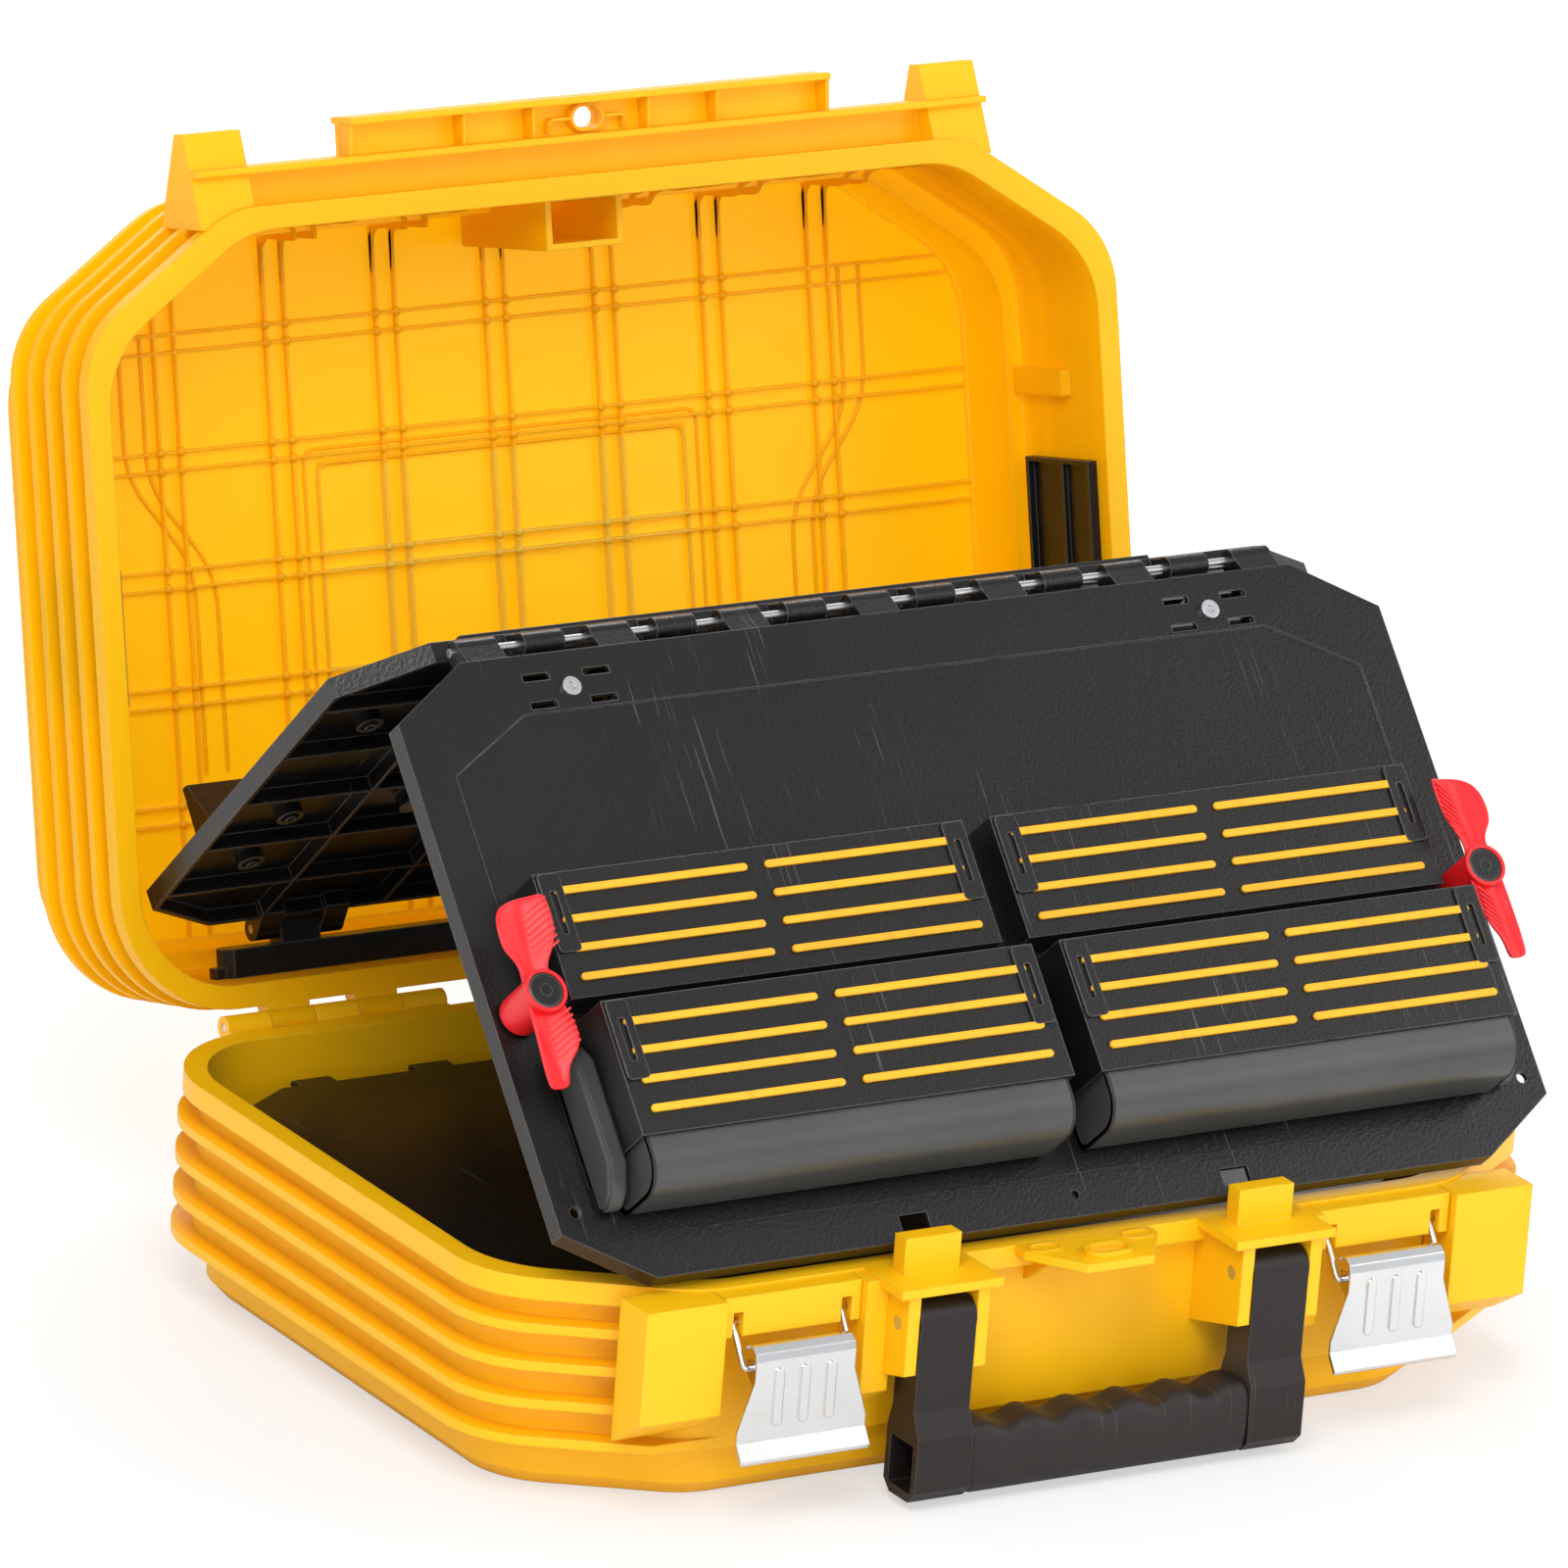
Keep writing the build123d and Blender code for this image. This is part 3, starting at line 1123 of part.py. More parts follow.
# ------------------------------------------------------------------- latches
EAR_OUTER = 23.4
PLATE_AHEAD = 5.4
UPPER_HALF = 24.8
lever_y = bail_y - BAIL_FORWARD
lever_z = BAIL_PIVOT_Z - BAIL_DROP
for side, name in ((-1, "left"), (1, "right")):
    middle = side * LATCH_X
    with BuildPart() as bail:
        with BuildLine() as path:
            FilletPolyline(
                (middle - EAR_OUTER + 2.4, lever_y, lever_z),
                (middle - ARM_OFFSET, lever_y, lever_z),
                (middle - ARM_OFFSET, bail_y, BAIL_PIVOT_Z),
                (middle + ARM_OFFSET, bail_y, BAIL_PIVOT_Z),
                (middle + ARM_OFFSET, lever_y, lever_z),
                (middle + EAR_OUTER - 2.4, lever_y, lever_z),
                radius=2.0,
            )
        with BuildSketch(Plane(path.line @ 0, z_dir=path.line % 0)):
            Circle(WIRE_RADIUS)
        sweep(path=path.line)
    finish(bail.part, f"latch_bail_{name}")
    with BuildPart() as lever:
        front = lever_y - PLATE_AHEAD
        top = lever_z + LEVER_TOP
        low = lever_z - LEVER_DROP
        side_profile(
            [
                (front + 8.5, top - 1.6),
                (front + 6, top - 0.2),
                (front + 3, top),
                (front - 0.2, top - 2.4),
                (front - LATCH_SHEET, top - 6),
                (front - LATCH_SHEET, low + 9),
                (front - LATCH_SHEET - 5, low + 2),
                (front - LATCH_SHEET - 4, low),
                (front, low + 7),
                (front, top - 6.4),
                (front + 1.2, top - 3.2),
                (front + 3.4, top - 1.3),
                (front + 6, top - 1.5),
                (front + 8, top - 2.8),
            ],
            middle - LATCH_WIDTH / 2,
            middle + LATCH_WIDTH / 2,
        )
        with BuildSketch(Plane.XZ.offset(-front - 30)) as trapeze:
            with BuildLine():
                Polyline(
                    (middle - UPPER_HALF, top + 1),
                    (middle + UPPER_HALF, top + 1),
                    (middle + UPPER_HALF, lever_z - 4),
                    (middle + LATCH_WIDTH / 2, low + 14),
                    (middle + LATCH_WIDTH / 2, low - 1),
                    (middle - LATCH_WIDTH / 2, low - 1),
                    (middle - LATCH_WIDTH / 2, low + 14),
                    (middle - UPPER_HALF, lever_z - 4),
                    close=True,
                )
            make_face()
        extrude(trapeze.sketch, amount=60, mode=Mode.INTERSECT)
        for offset_x in (-13, 0, 13):
            with BuildSketch(Plane.XZ.offset(-front + LATCH_SHEET - 0.4)) as rib:
                with Locations((middle + offset_x, lever_z - 12)):
                    SlotOverall(26, 4.4, rotation=90)
            extrude(rib.sketch, amount=1.3)
        for ear in (-1, 1):
            side_profile(
                [
                    (front - 0.4, lever_z + 4),
                    (lever_y + 3.4, lever_z + 3),
                    (lever_y + 3.4, lever_z - 3),
                    (front - 0.4, lever_z - 10),
                ],
                *sorted(
                    (
                        middle + ear * EAR_OUTER,
                        middle + ear * (EAR_OUTER - LATCH_SHEET),
                    )
                ),
            )
        cross_hole(
            lever_y,
            lever_z,
            middle - EAR_OUTER - 1,
            middle + EAR_OUTER + 1,
            WIRE_RADIUS + PIN_CLEARANCE,
        )
    finish(lever.part, f"latch_lever_{name}")
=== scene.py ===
"""A hard tool case standing open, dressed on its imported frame.

The sections follow the case as it is put together: base, lid, the tent of
two tool panels with its pockets, clips and trays, and last the handle and the
latches.  Lengths are in metres.
"""
from math import cos, pi, radians, sin

import bpy
import bmesh
from mathutils import Matrix, Vector


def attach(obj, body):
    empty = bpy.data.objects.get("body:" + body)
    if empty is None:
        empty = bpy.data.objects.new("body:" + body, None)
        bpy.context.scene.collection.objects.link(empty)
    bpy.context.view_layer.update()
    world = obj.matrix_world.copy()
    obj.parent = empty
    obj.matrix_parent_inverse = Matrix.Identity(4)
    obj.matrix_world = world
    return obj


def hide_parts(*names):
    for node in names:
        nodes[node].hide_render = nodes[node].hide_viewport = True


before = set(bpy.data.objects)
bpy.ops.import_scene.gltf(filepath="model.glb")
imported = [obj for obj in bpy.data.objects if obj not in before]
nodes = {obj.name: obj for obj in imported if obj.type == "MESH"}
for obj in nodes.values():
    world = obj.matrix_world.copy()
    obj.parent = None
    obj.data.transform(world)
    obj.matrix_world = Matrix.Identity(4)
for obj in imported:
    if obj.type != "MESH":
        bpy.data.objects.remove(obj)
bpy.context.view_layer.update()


# ---------------------------------------------------------------- base shell
# The base is one opaque yellow moulding of polypropylene, with deep ribs all
# round and a foot that steps in.  Its walls have a fine spark texture and
# scuffs along the ribs.
class Wire:
    """A value that runs over a surface.  Sums and products add their nodes."""

    def __init__(self, finish, socket):
        self.finish = finish
        self.socket = socket

    def join(self, operation, first, second):
        made = self.finish.node("ShaderNodeMath", {"operation": operation}, {0: first, 1: second})
        return Wire(self.finish, made.outputs[0])

    def __add__(self, other):
        return self.join("ADD", self, other)

    def __radd__(self, other):
        return self.join("ADD", other, self)

    def __sub__(self, other):
        return self.join("SUBTRACT", self, other)

    def __rsub__(self, other):
        return self.join("SUBTRACT", other, self)

    def __mul__(self, other):
        return self.join("MULTIPLY", self, other)

    def __rmul__(self, other):
        return self.join("MULTIPLY", other, self)


class Pattern:
    """The nodes of a finish or of the studio round the case."""

    def __init__(self, owner):
        owner.use_nodes = True
        self.tree = owner.node_tree
        self.tree.nodes.clear()

    def node(self, kind, settings=None, sockets=None):
        made = self.tree.nodes.new(kind)
        for key, value in (settings or {}).items():
            setattr(made, key, value)
        self.feed(made, sockets or {})
        return made

    def feed(self, made, sockets):
        for key, value in sockets.items():
            socket = made.inputs[key]
            if isinstance(value, Wire):
                value = value.socket
            if isinstance(value, bpy.types.NodeSocket):
                self.tree.links.new(value, socket)
            elif isinstance(value, tuple) and len(value) == 3 and socket.type == "RGBA":
                socket.default_value = (*value, 1.0)
            else:
                socket.default_value = value


class Finish(Pattern):
    """A surface finish: one shader and the pattern of nodes that feeds it."""

    def __init__(self, name, round_off=0.0009):
        self.material = bpy.data.materials.new(name)
        super().__init__(self.material)
        self.shader = self.node("ShaderNodeBsdfPrincipled")
        self.end = self.node("ShaderNodeOutputMaterial", {}, {"Surface": self.shader.outputs[0]})
        rounding = self.node("ShaderNodeBevel", {"samples": 4}, {"Radius": round_off})
        self.rounded = rounding.outputs[0]

    def place(self, stretch=(1, 1, 1), turn=(0, 0, 0)):
        """Where a point lies on the piece, in metres, scaled along each axis."""
        source = self.node("ShaderNodeTexCoord").outputs["Object"]
        sockets = {"Vector": source, "Scale": stretch, "Rotation": turn}
        return self.node("ShaderNodeMapping", {}, sockets).outputs[0]

    def noise(self, scale, detail=3.0, rough=0.55, stretch=(1, 1, 1), turn=(0, 0, 0)):
        """Cloudy unevenness from 0 to 1, with about scale clouds to a metre."""
        sockets = {
            "Vector": self.place(stretch, turn),
            "Scale": scale,
            "Detail": detail,
            "Roughness": rough,
        }
        return Wire(self, self.node("ShaderNodeTexNoise", {}, sockets).outputs[0])

    def step(self, wire, low, high):
        """0 below low, 1 above high, and smooth between them."""
        sockets = {0: wire, 1: low, 2: high}
        settings = {"interpolation_type": "SMOOTHSTEP"}
        return Wire(self, self.node("ShaderNodeMapRange", settings, sockets).outputs[0])

    def blend(self, share, under, over):
        """The colour over laid on the colour under where share is 1."""
        settings = {"data_type": "RGBA"}
        made = self.node("ShaderNodeMix", settings, {0: share, 6: under, 7: over})
        return made.outputs[2]

    def edges(self, low=0.01, high=0.12):
        """1 on edges that rub, 0 on flats."""
        flat = self.node("ShaderNodeNewGeometry").outputs["Normal"]
        both = {0: self.rounded, 1: flat}
        turn = self.node("ShaderNodeVectorMath", {"operation": "DOT_PRODUCT"}, both)
        return self.step(1 - Wire(self, turn.outputs["Value"]), low, high)

    def scratches(self, turn, fine=900.0):
        """Fine straight marks that run one way."""
        lines = self.noise(fine, 2.0, 0.5, (1, 0.02, 0.02), (0, 0, turn))
        patches = self.step(self.noise(14.0, 2.0), 0.5, 0.62)
        return self.step(lines, 0.66, 0.74) * patches

    def bump(self, height, depth):
        """A normal that follows height, depth metres deep, on rounded edges."""
        sockets = {"Height": height, "Distance": depth, "Normal": self.rounded}
        return self.node("ShaderNodeBump", {}, sockets).outputs[0]


def dress(node, finish):
    """Gives a piece of the frame its finish."""
    mesh = nodes[node].data
    mesh.materials.clear()
    mesh.materials.append(finish.material)


yellow = Finish("case_yellow", 0.0011)
spark = yellow.noise(2600.0, 2.0, 0.6)
orange_peel = yellow.noise(160.0, 2.0)
cloud = yellow.noise(7.0, 3.0)
rubbed = yellow.edges(0.02, 0.2) * yellow.step(yellow.noise(60.0, 4.0), 0.42, 0.6)
scuffs = yellow.scratches(0.4)
yellow_body = yellow.blend(cloud, (0.90, 0.455, 0.0015), (0.97, 0.53, 0.003))
yellow_worn = yellow.blend(rubbed * 0.4, yellow_body, (1.0, 0.70, 0.10))
yellow.feed(
    yellow.shader,
    {
        "Base Color": yellow.blend(scuffs * 0.25, yellow_worn, (0.74, 0.36, 0.01)),
        "Roughness": 0.36 + cloud * 0.10 + scuffs * 0.2,
        "Normal": yellow.bump(spark * 0.45 + orange_peel * 0.55, 0.00010),
        "Specular IOR Level": 0.35,
    },
)
for moulding in ("base_shell", "front_buttresses", "latch_bosses", "handle_mounts"):
    dress(moulding, yellow)


# ------------------------------------------------------- panel in the base
# The third tool panel lies in the base on four seats, black and pebbled, and
# is held by cross-slot screws of bright zinc.
def black_plastic(name, shade, worn, rough, pebble=620.0):
    """Black moulded plastic with a pebbled skin, pale where it is rubbed."""
    finish = Finish(name)
    pebbles = finish.node(
        "ShaderNodeTexVoronoi",
        {"feature": "SMOOTH_F1"},
        {"Vector": finish.place(), "Scale": pebble, "Smoothness": 0.7},
    )
    skin = Wire(finish, pebbles.outputs["Distance"])
    haze = finish.noise(9.0, 4.0, 0.6)
    fine = finish.noise(1500.0, 2.0)
    rub = finish.edges(0.008, 0.12) * finish.step(finish.noise(45.0, 4.0), 0.22, 0.42)
    marks = finish.scratches(0.9) + finish.scratches(-0.5, 700.0)
    body = finish.blend(haze, shade, tuple(1.6 * part + 0.001 for part in shade))
    marked = finish.blend(marks * 0.4, body, worn)
    finish.feed(
        finish.shader,
        {
            "Base Color": finish.blend(rub * 0.75, marked, worn),
            "Roughness": rough + haze * 0.12 - rub * 0.08,
            "Normal": finish.bump(skin * 0.8 + fine * 0.2, 0.00013),
            "Specular IOR Level": 0.36,
        },
    )
    return finish


panel_black = black_plastic("panel_black", (0.0052, 0.0044, 0.0040), (0.17, 0.16, 0.15), 0.25)
dress("base_tool_panel", panel_black)


def bright_metal(name, tint, rough, run=(1, 1, 1)):
    """Zinc-plated steel: spangled, faintly rainbowed, and drawn along run."""
    finish = Finish(name)
    spangle = finish.noise(90.0, 3.0, 0.6)
    drawn = finish.noise(1400.0, 2.0, 0.5, run)
    smear = finish.noise(35.0, 3.0, 0.6)
    cool = finish.blend(smear, tint, tuple(0.82 * part for part in tint))
    warm = finish.blend(finish.step(spangle, 0.55, 0.7) * 0.35, cool, (0.72, 0.66, 0.52))
    finish.feed(
        finish.shader,
        {
            "Base Color": warm,
            "Metallic": 1.0,
            "Roughness": rough + smear * 0.16,
            "Normal": finish.bump(drawn * 0.6 + spangle * 0.4, 0.00005),
        },
    )
    return finish


zinc = bright_metal("zinc_screws", (0.62, 0.63, 0.65), 0.24)
dress("base_panel_screws", zinc)
dress("lid_hinge_pins", zinc)
dress("handle_pins", zinc)


# ----------------------------------------------------------------- lid shell
# The lid is moulded in the same plastic without the opaque filler, so light
# comes through it: amber on the floor, orange where fins stand behind the
# wall.  Its surface is smoother than the base's.
amber = Finish("lid_amber", 0.0012)
depth = amber.noise(5.0, 3.0, 0.5)
flow = amber.noise(18.0, 3.0, 0.6, (1, 1, 0.25))
haze = amber.noise(420.0, 2.0, 0.6)
lid_edges = amber.edges(0.02, 0.25)
across, inward, level = (
    Wire(amber, socket)
    for socket in amber.node("ShaderNodeSeparateXYZ", {}, {0: amber.place()}).outputs
)
# The recess at the middle of the floor is painted pale and greenish: painted light from the
# backdrop showing through the thin plastic.
painted_see_through = amber.step(across, -0.0975, -0.0955) * (1 - amber.step(across, 0.0955, 0.0975))
painted_see_through = painted_see_through * amber.step(level, 0.1355, 0.1375) * (1 - amber.step(level, 0.3005, 0.3025))
into_lid = inward * 0.970 - level * 0.242
inner_face = 1 - amber.step(into_lid, 0.2606, 0.2614)
painted_see_through = painted_see_through * amber.step(inward, 0.25, 0.26) * inner_face
thin = amber.step(inward - level * 0.25, 0.195, 0.21)
amber_body = amber.blend(depth, (0.93, 0.52, 0.0015), (0.98, 0.61, 0.003))
amber_flow = amber.blend(amber.step(flow, 0.5, 0.75) * 0.3, amber_body, (1.0, 0.68, 0.01))
amber_thin = amber.blend(thin * 0.5, amber_flow, (1.0, 0.66, 0.004))
# Painted see-through light: the recess blends to a pale greenish amber.
amber_painted_see_through = amber.blend(painted_see_through * 0.95, amber_thin, (0.84, 0.72, 0.09))
amber.feed(
    amber.shader,
    {
        "Base Color": amber.blend(lid_edges * 0.4, amber_painted_see_through, (1.0, 0.72, 0.10)),
        "Roughness": 0.30 + flow * 0.12,
        "Normal": amber.bump(haze, 0.00005),
        "Specular IOR Level": 0.35,
    },
)
glow = amber.node("ShaderNodeBsdfTranslucent", {}, {"Color": (1.0, 0.73, 0.014)})
through = amber.node(
    "ShaderNodeMixShader",
    {},
    {0: 0.30 + depth * 0.1 + thin * 0.12, 1: amber.shader.outputs[0], 2: glow.outputs[0]},
)
amber.feed(amber.end, {"Surface": through.outputs[0]})
dress("lid_shell", amber)

LID_ANGLE = radians(104)
HINGE = Vector((0, 0.184, 0.102))


def in_lid(x, ahead, depth_in):
    """A point of the lid from its way ahead of the hinge and its depth."""
    up = Vector((0, -cos(LID_ANGLE), sin(LID_ANGLE)))
    away = Vector((0, sin(LID_ANGLE), cos(LID_ANGLE)))
    return HINGE + Vector((x, 0, 0)) + ahead * up + depth_in * away


def piece(name, mesh, finish, body):
    """Makes a mesh into a piece that moves with one body of the case."""
    made = bmesh_object(name, mesh)
    made.data.materials.append(finish.material)
    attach(made, body)
    return made


def bmesh_object(name, mesh):
    """Turns a bmesh into an object of the scene."""
    data = bpy.data.meshes.new(name)
    bmesh.ops.recalc_face_normals(mesh, faces=mesh.faces)
    mesh.to_mesh(data)
    mesh.free()
    made = bpy.data.objects.new(name, data)
    bpy.context.scene.collection.objects.link(made)
    return made


def smooth(made, angle=40.0):
    """Shades a piece smooth, but keeps its sharp edges."""
    for polygon in made.data.polygons:
        polygon.use_smooth = True
    made.data.set_sharp_from_angle(angle=radians(angle))


# ------------------------------------------------------- nubs on the lid grid
# Where the pairs of ribs cross on the floor of the lid, small round ejector
# pads stand up from them, moulded in one with the lid.
NUB_RADIUS = 0.0023
NUB_DEPTH = 0.1034
PITCH_X = 0.0575
PAIR_X = 0.00525
FIRST_AHEAD = 0.083
PITCH_AHEAD = 0.053
PAIR_AHEAD = 0.0041
RIB_X = [PITCH_X * k + side * PAIR_X for k in range(-3, 4) for side in (-1, 1)]
RIB_AHEAD = [
    FIRST_AHEAD + PITCH_AHEAD * k + side * PAIR_AHEAD for k in range(5) for side in (-1, 1)
]
nub_mesh = bmesh.new()
lid_turn = Matrix.Rotation(LID_ANGLE, 4, "X").inverted()
for nub_x in RIB_X:
    for nub_ahead in RIB_AHEAD:
        if abs(nub_x) > 0.16 and nub_ahead > 0.29:
            continue
        centre = in_lid(nub_x, nub_ahead, NUB_DEPTH)
        shape = Matrix.Translation(centre) @ lid_turn @ Matrix.Diagonal((1, 1, 0.7, 1))
        bmesh.ops.create_icosphere(nub_mesh, subdivisions=2, radius=NUB_RADIUS, matrix=shape)
smooth(piece("lid_grid_nubs", nub_mesh, amber, "lid"))


# ------------------------------------------- ribs up the front wall of the lid
# Each pair of ribs runs on from the floor up the front wall, steps out over
# the ledge in a double bend, and fades into the rim with a sideways curl.
RIB_TALL = 0.0036
RIB_THIN = 0.0013


def skin(mesh, low, high):
    """Joins two loops of points by a band of faces."""
    count = len(low)
    for j in range(count):
        after = (j + 1) % count
        mesh.faces.new((low[j], low[after], high[after], high[j]))


def fence(mesh, path, stand, height, thick):
    """A thin wall along path whose top stands off it by stand times height."""
    rows = []
    for k, spot in enumerate(path):
        ahead_run = path[min(k + 1, len(path) - 1)] - path[max(k - 1, 0)]
        aside = ahead_run.cross(stand[k]).normalized() * thick / 2
        top = spot + stand[k] * height[k]
        corners = (spot - aside, spot + aside, top + aside, top - aside)
        rows.append([mesh.verts.new(corner) for corner in corners])
    for low, high in zip(rows, rows[1:]):
        skin(mesh, low, high)
    mesh.faces.new(rows[0])
    mesh.faces.new(rows[-1])


inward_of_wall = (in_lid(0, 0, 0) - in_lid(0, 1, 0)).normalized()
off_floor = (in_lid(0, 0, 0) - in_lid(0, 0, 1)).normalized()
corner_lean = (off_floor + inward_of_wall).normalized()
rib_mesh = bmesh.new()
for k in range(-3, 4):
    lean = 1 if k >= 0 else -1
    for pair in (-1, 1):
        x = PITCH_X * k + pair * PAIR_X
        turn_out = pair * 0.004
        line = [
            (x, 0.318, 0.1052, 0.3),
            (x, 0.334, 0.1052, 0.8),
            (x, 0.3405, 0.1005, 1.0),
            (x, 0.3415, 0.0900, 1.0),
            (x, 0.3415, 0.0730, 1.0),
            (x + lean * 0.0012, 0.3425, 0.0690, 1.1),
            (x + lean * 0.0034, 0.3470, 0.0675, 1.1),
            (x + lean * 0.0060, 0.3492, 0.0610, 1.0),
            (x + lean * 0.0066, 0.3496, 0.0480, 1.0),
            (x + lean * 0.0066, 0.3497, 0.0330, 0.9),
            (x + lean * 0.0080 + turn_out * 0.3, 0.3498, 0.0250, 0.7),
            (x + lean * 0.0120 + turn_out, 0.3499, 0.0190, 0.45),
            (x + lean * 0.0200 + turn_out * 2, 0.3500, 0.0155, 0.15),
        ]
        path = [in_lid(*place[:3]) for place in line]
        lean_in = [off_floor] * 2 + [corner_lean] + [inward_of_wall] * 10
        fence(rib_mesh, path, lean_in, [RIB_TALL * place[3] for place in line], RIB_THIN)
smooth(piece("lid_wall_ribs", rib_mesh, amber, "lid"), 50)


# ----------------------------------------------- collar on the base's tongue
# The tongue under the lid's lip has a thick collar round its padlock eye and
# a shallow oval dish at each side of it.
TONGUE_TOP = 0.102
TONGUE_EYE_Y = -0.1970
DISH_X = 0.0235
DISH_Y = -0.1835


def oval(middle_x, middle_y, half, radius):
    """The points round an oval that lies on the tongue."""
    line = []
    for k in range(33):
        angle = 2 * pi * k / 32
        shift = half if cos(angle) > 0 else -half
        spot = (middle_x + shift + radius * cos(angle), middle_y + radius * sin(angle))
        line.append(Vector((*spot, TONGUE_TOP - 0.0002)))
    return line


tongue_mesh = bmesh.new()
skyward = [Vector((0, 0, 1))] * 33
eye_line = oval(0, TONGUE_EYE_Y, 0.0044, 0.0060)
fence(tongue_mesh, eye_line, skyward, [0.0026] * 33, 0.0024)
for side in (-1, 1):
    dish_line = oval(side * DISH_X, DISH_Y, 0.0030, 0.0042)
    fence(tongue_mesh, dish_line, skyward, [0.0009] * 33, 0.0012)
smooth(piece("tongue_collar", tongue_mesh, yellow, "base"), 50)


# ------------------------------------------------ webs on the lid's front lip
# The lip at the middle of the lid is a gutter that thin cross webs divide.  A
# collar runs round the padlock eye, with a hooked rib at each side of it.
LIP_DEPTH = 0.0173
LIP_EYE = 0.3850
web_mesh = bmesh.new()
for web_x in (0.1241, 0.066, 0.030):
    for side in (-1, 1):
        path = [in_lid(side * web_x, ahead, LIP_DEPTH) for ahead in (0.3776, 0.3924)]
        fence(web_mesh, path, [off_floor] * 2, [0.0085, 0.0100], 0.0017)
for side in (-1, 1):
    hook = ((0.0086, LIP_EYE), (0.0180, LIP_EYE), (0.0195, 0.3838), (0.0195, 0.3790))
    path = [in_lid(side * x, ahead, LIP_DEPTH) for x, ahead in hook]
    fence(web_mesh, path, [off_floor] * 4, [0.0052, 0.0052, 0.0052, 0.0030], 0.0014)
collar = []
for k in range(33):
    angle = 2 * pi * k / 32
    middle = 0.0024 if cos(angle) > 0 else -0.0024
    ahead = LIP_EYE + 0.0056 * sin(angle)
    collar.append(in_lid(middle + 0.0056 * cos(angle), ahead, LIP_DEPTH))
fence(web_mesh, collar, [off_floor] * 33, [0.0055] * 33, 0.0014)
smooth(piece("lid_lip_webs", web_mesh, amber, "lid"), 50)


# ------------------------------------------ raised lines on the lid's floor
# A shallow recess for papers lies at the middle of the floor inside a double
# raised line, and raised lines at both sides follow the grips outside.
def bead(name, points, radius, finish, body, closed=False):
    """A raised round line that follows points."""
    data = bpy.data.curves.new(name, "CURVE")
    data.dimensions = "3D"
    data.bevel_depth = radius
    data.bevel_resolution = 3
    data.resolution_u = 6
    line = data.splines.new("POLY")
    line.points.add(len(points) - 1)
    for made_point, place in zip(line.points, points):
        made_point.co = (*place, 1)
    line.use_cyclic_u = closed
    made = bpy.data.objects.new(name, data)
    bpy.context.scene.collection.objects.link(made)
    data.materials.append(finish.material)
    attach(made, body)
    return made


def softened(corners, radius, closed=True, steps=6):
    """The corners of an outline in the lid, each rounded off."""
    line = []
    count = len(corners)
    for k, corner in enumerate(corners):
        if not closed and k in (0, count - 1):
            line.append(corner)
            continue
        here = Vector(corner)
        before = (Vector(corners[k - 1]) - here).normalized()
        after = (Vector(corners[(k + 1) % count]) - here).normalized()
        start = here + before * radius
        end = here + after * radius
        for step in range(steps + 1):
            share = step / steps
            line.append(tuple(start.lerp(here, share).lerp(here.lerp(end, share), share)))
    return line


FLOOR_DEPTH = 0.1058
for name, half, near, far in (
    ("lid_recess_line_outer", 0.1035, 0.0535, 0.2405),
    ("lid_recess_line_inner", 0.0965, 0.0605, 0.2335),
):
    outline = softened([(-half, near), (half, near), (half, far), (-half, far)], 0.006)
    bead(
        name,
        [in_lid(x, ahead, FLOOR_DEPTH) for x, ahead in outline],
        0.0009,
        amber,
        "lid",
        True,
    )
for side, side_name in ((-1, "left"), (1, "right")):
    for k, shift in enumerate((0.0, 0.011)):
        bends = [
            (side * (0.152 + shift), 0.100),
            (side * (0.152 + shift), 0.190 + shift * 0.4),
            (side * (0.184 + shift), 0.232 + shift * 0.4),
            (side * (0.184 + shift), 0.300),
        ]
        bead(
            f"lid_side_line_{side_name}_{k + 1}",
            [in_lid(x, ahead, FLOOR_DEPTH) for x, ahead in softened(bends, 0.016, False)],
            0.0010,
            amber,
            "lid",
        )


# --------------------------------------------- sockets and bar inside the lid
# Black inserts snap into the side walls of the lid to take the panel clips,
# and a black bar at the rear wall carries the pivots of the rear panel.
trim_black = black_plastic("trim_black", (0.0046, 0.0044, 0.0042), (0.13, 0.125, 0.12), 0.30, 900.0)
for insert in ("lid_clip_socket_left", "lid_clip_socket_right", "rear_pivot_bar"):
    dress(insert, trim_black)


# ----------------------------------------------------------------- rear panel
# The rear tool panel is the same black plastic, ribbed on its inner side,
# with a ledge and a shallow pocket screwed to its outer side.
for leaf in ("rear_panel", "front_panel"):
    dress(leaf, panel_black)
dress("rear_ledge", trim_black)
dress("rear_pocket", trim_black)
rod = bright_metal("drawn_rod", (0.50, 0.50, 0.51), 0.26, (0.05, 1, 1))
dress("pivot_rods", rod)
dress("ridge_rod", rod)


FRONT_LENGTH = 0.296
RIDGE = Vector((0, 0.031, 0.323))
front_run = 0.031 + 0.168
front_down = Vector((0, -front_run, -((FRONT_LENGTH**2 - front_run**2) ** 0.5))).normalized()
front_out = Vector((0, front_down.z, -front_down.y))
PIVOT = in_lid(0, 0.038, 0.030)
rear_down = (PIVOT - RIDGE).normalized()
rear_out = Vector((0, -rear_down.z, rear_down.y))


def on_front(x, down, out):
    """A point of the front panel: its way down from the ridge and out of it."""
    return RIDGE + Vector((x, 0, 0)) + down * front_down + out * front_out


def on_rear(x, down, out):
    """A point of the rear panel: its way down from the ridge and out of it."""
    return RIDGE + Vector((x, 0, 0)) + down * rear_down + out * rear_out


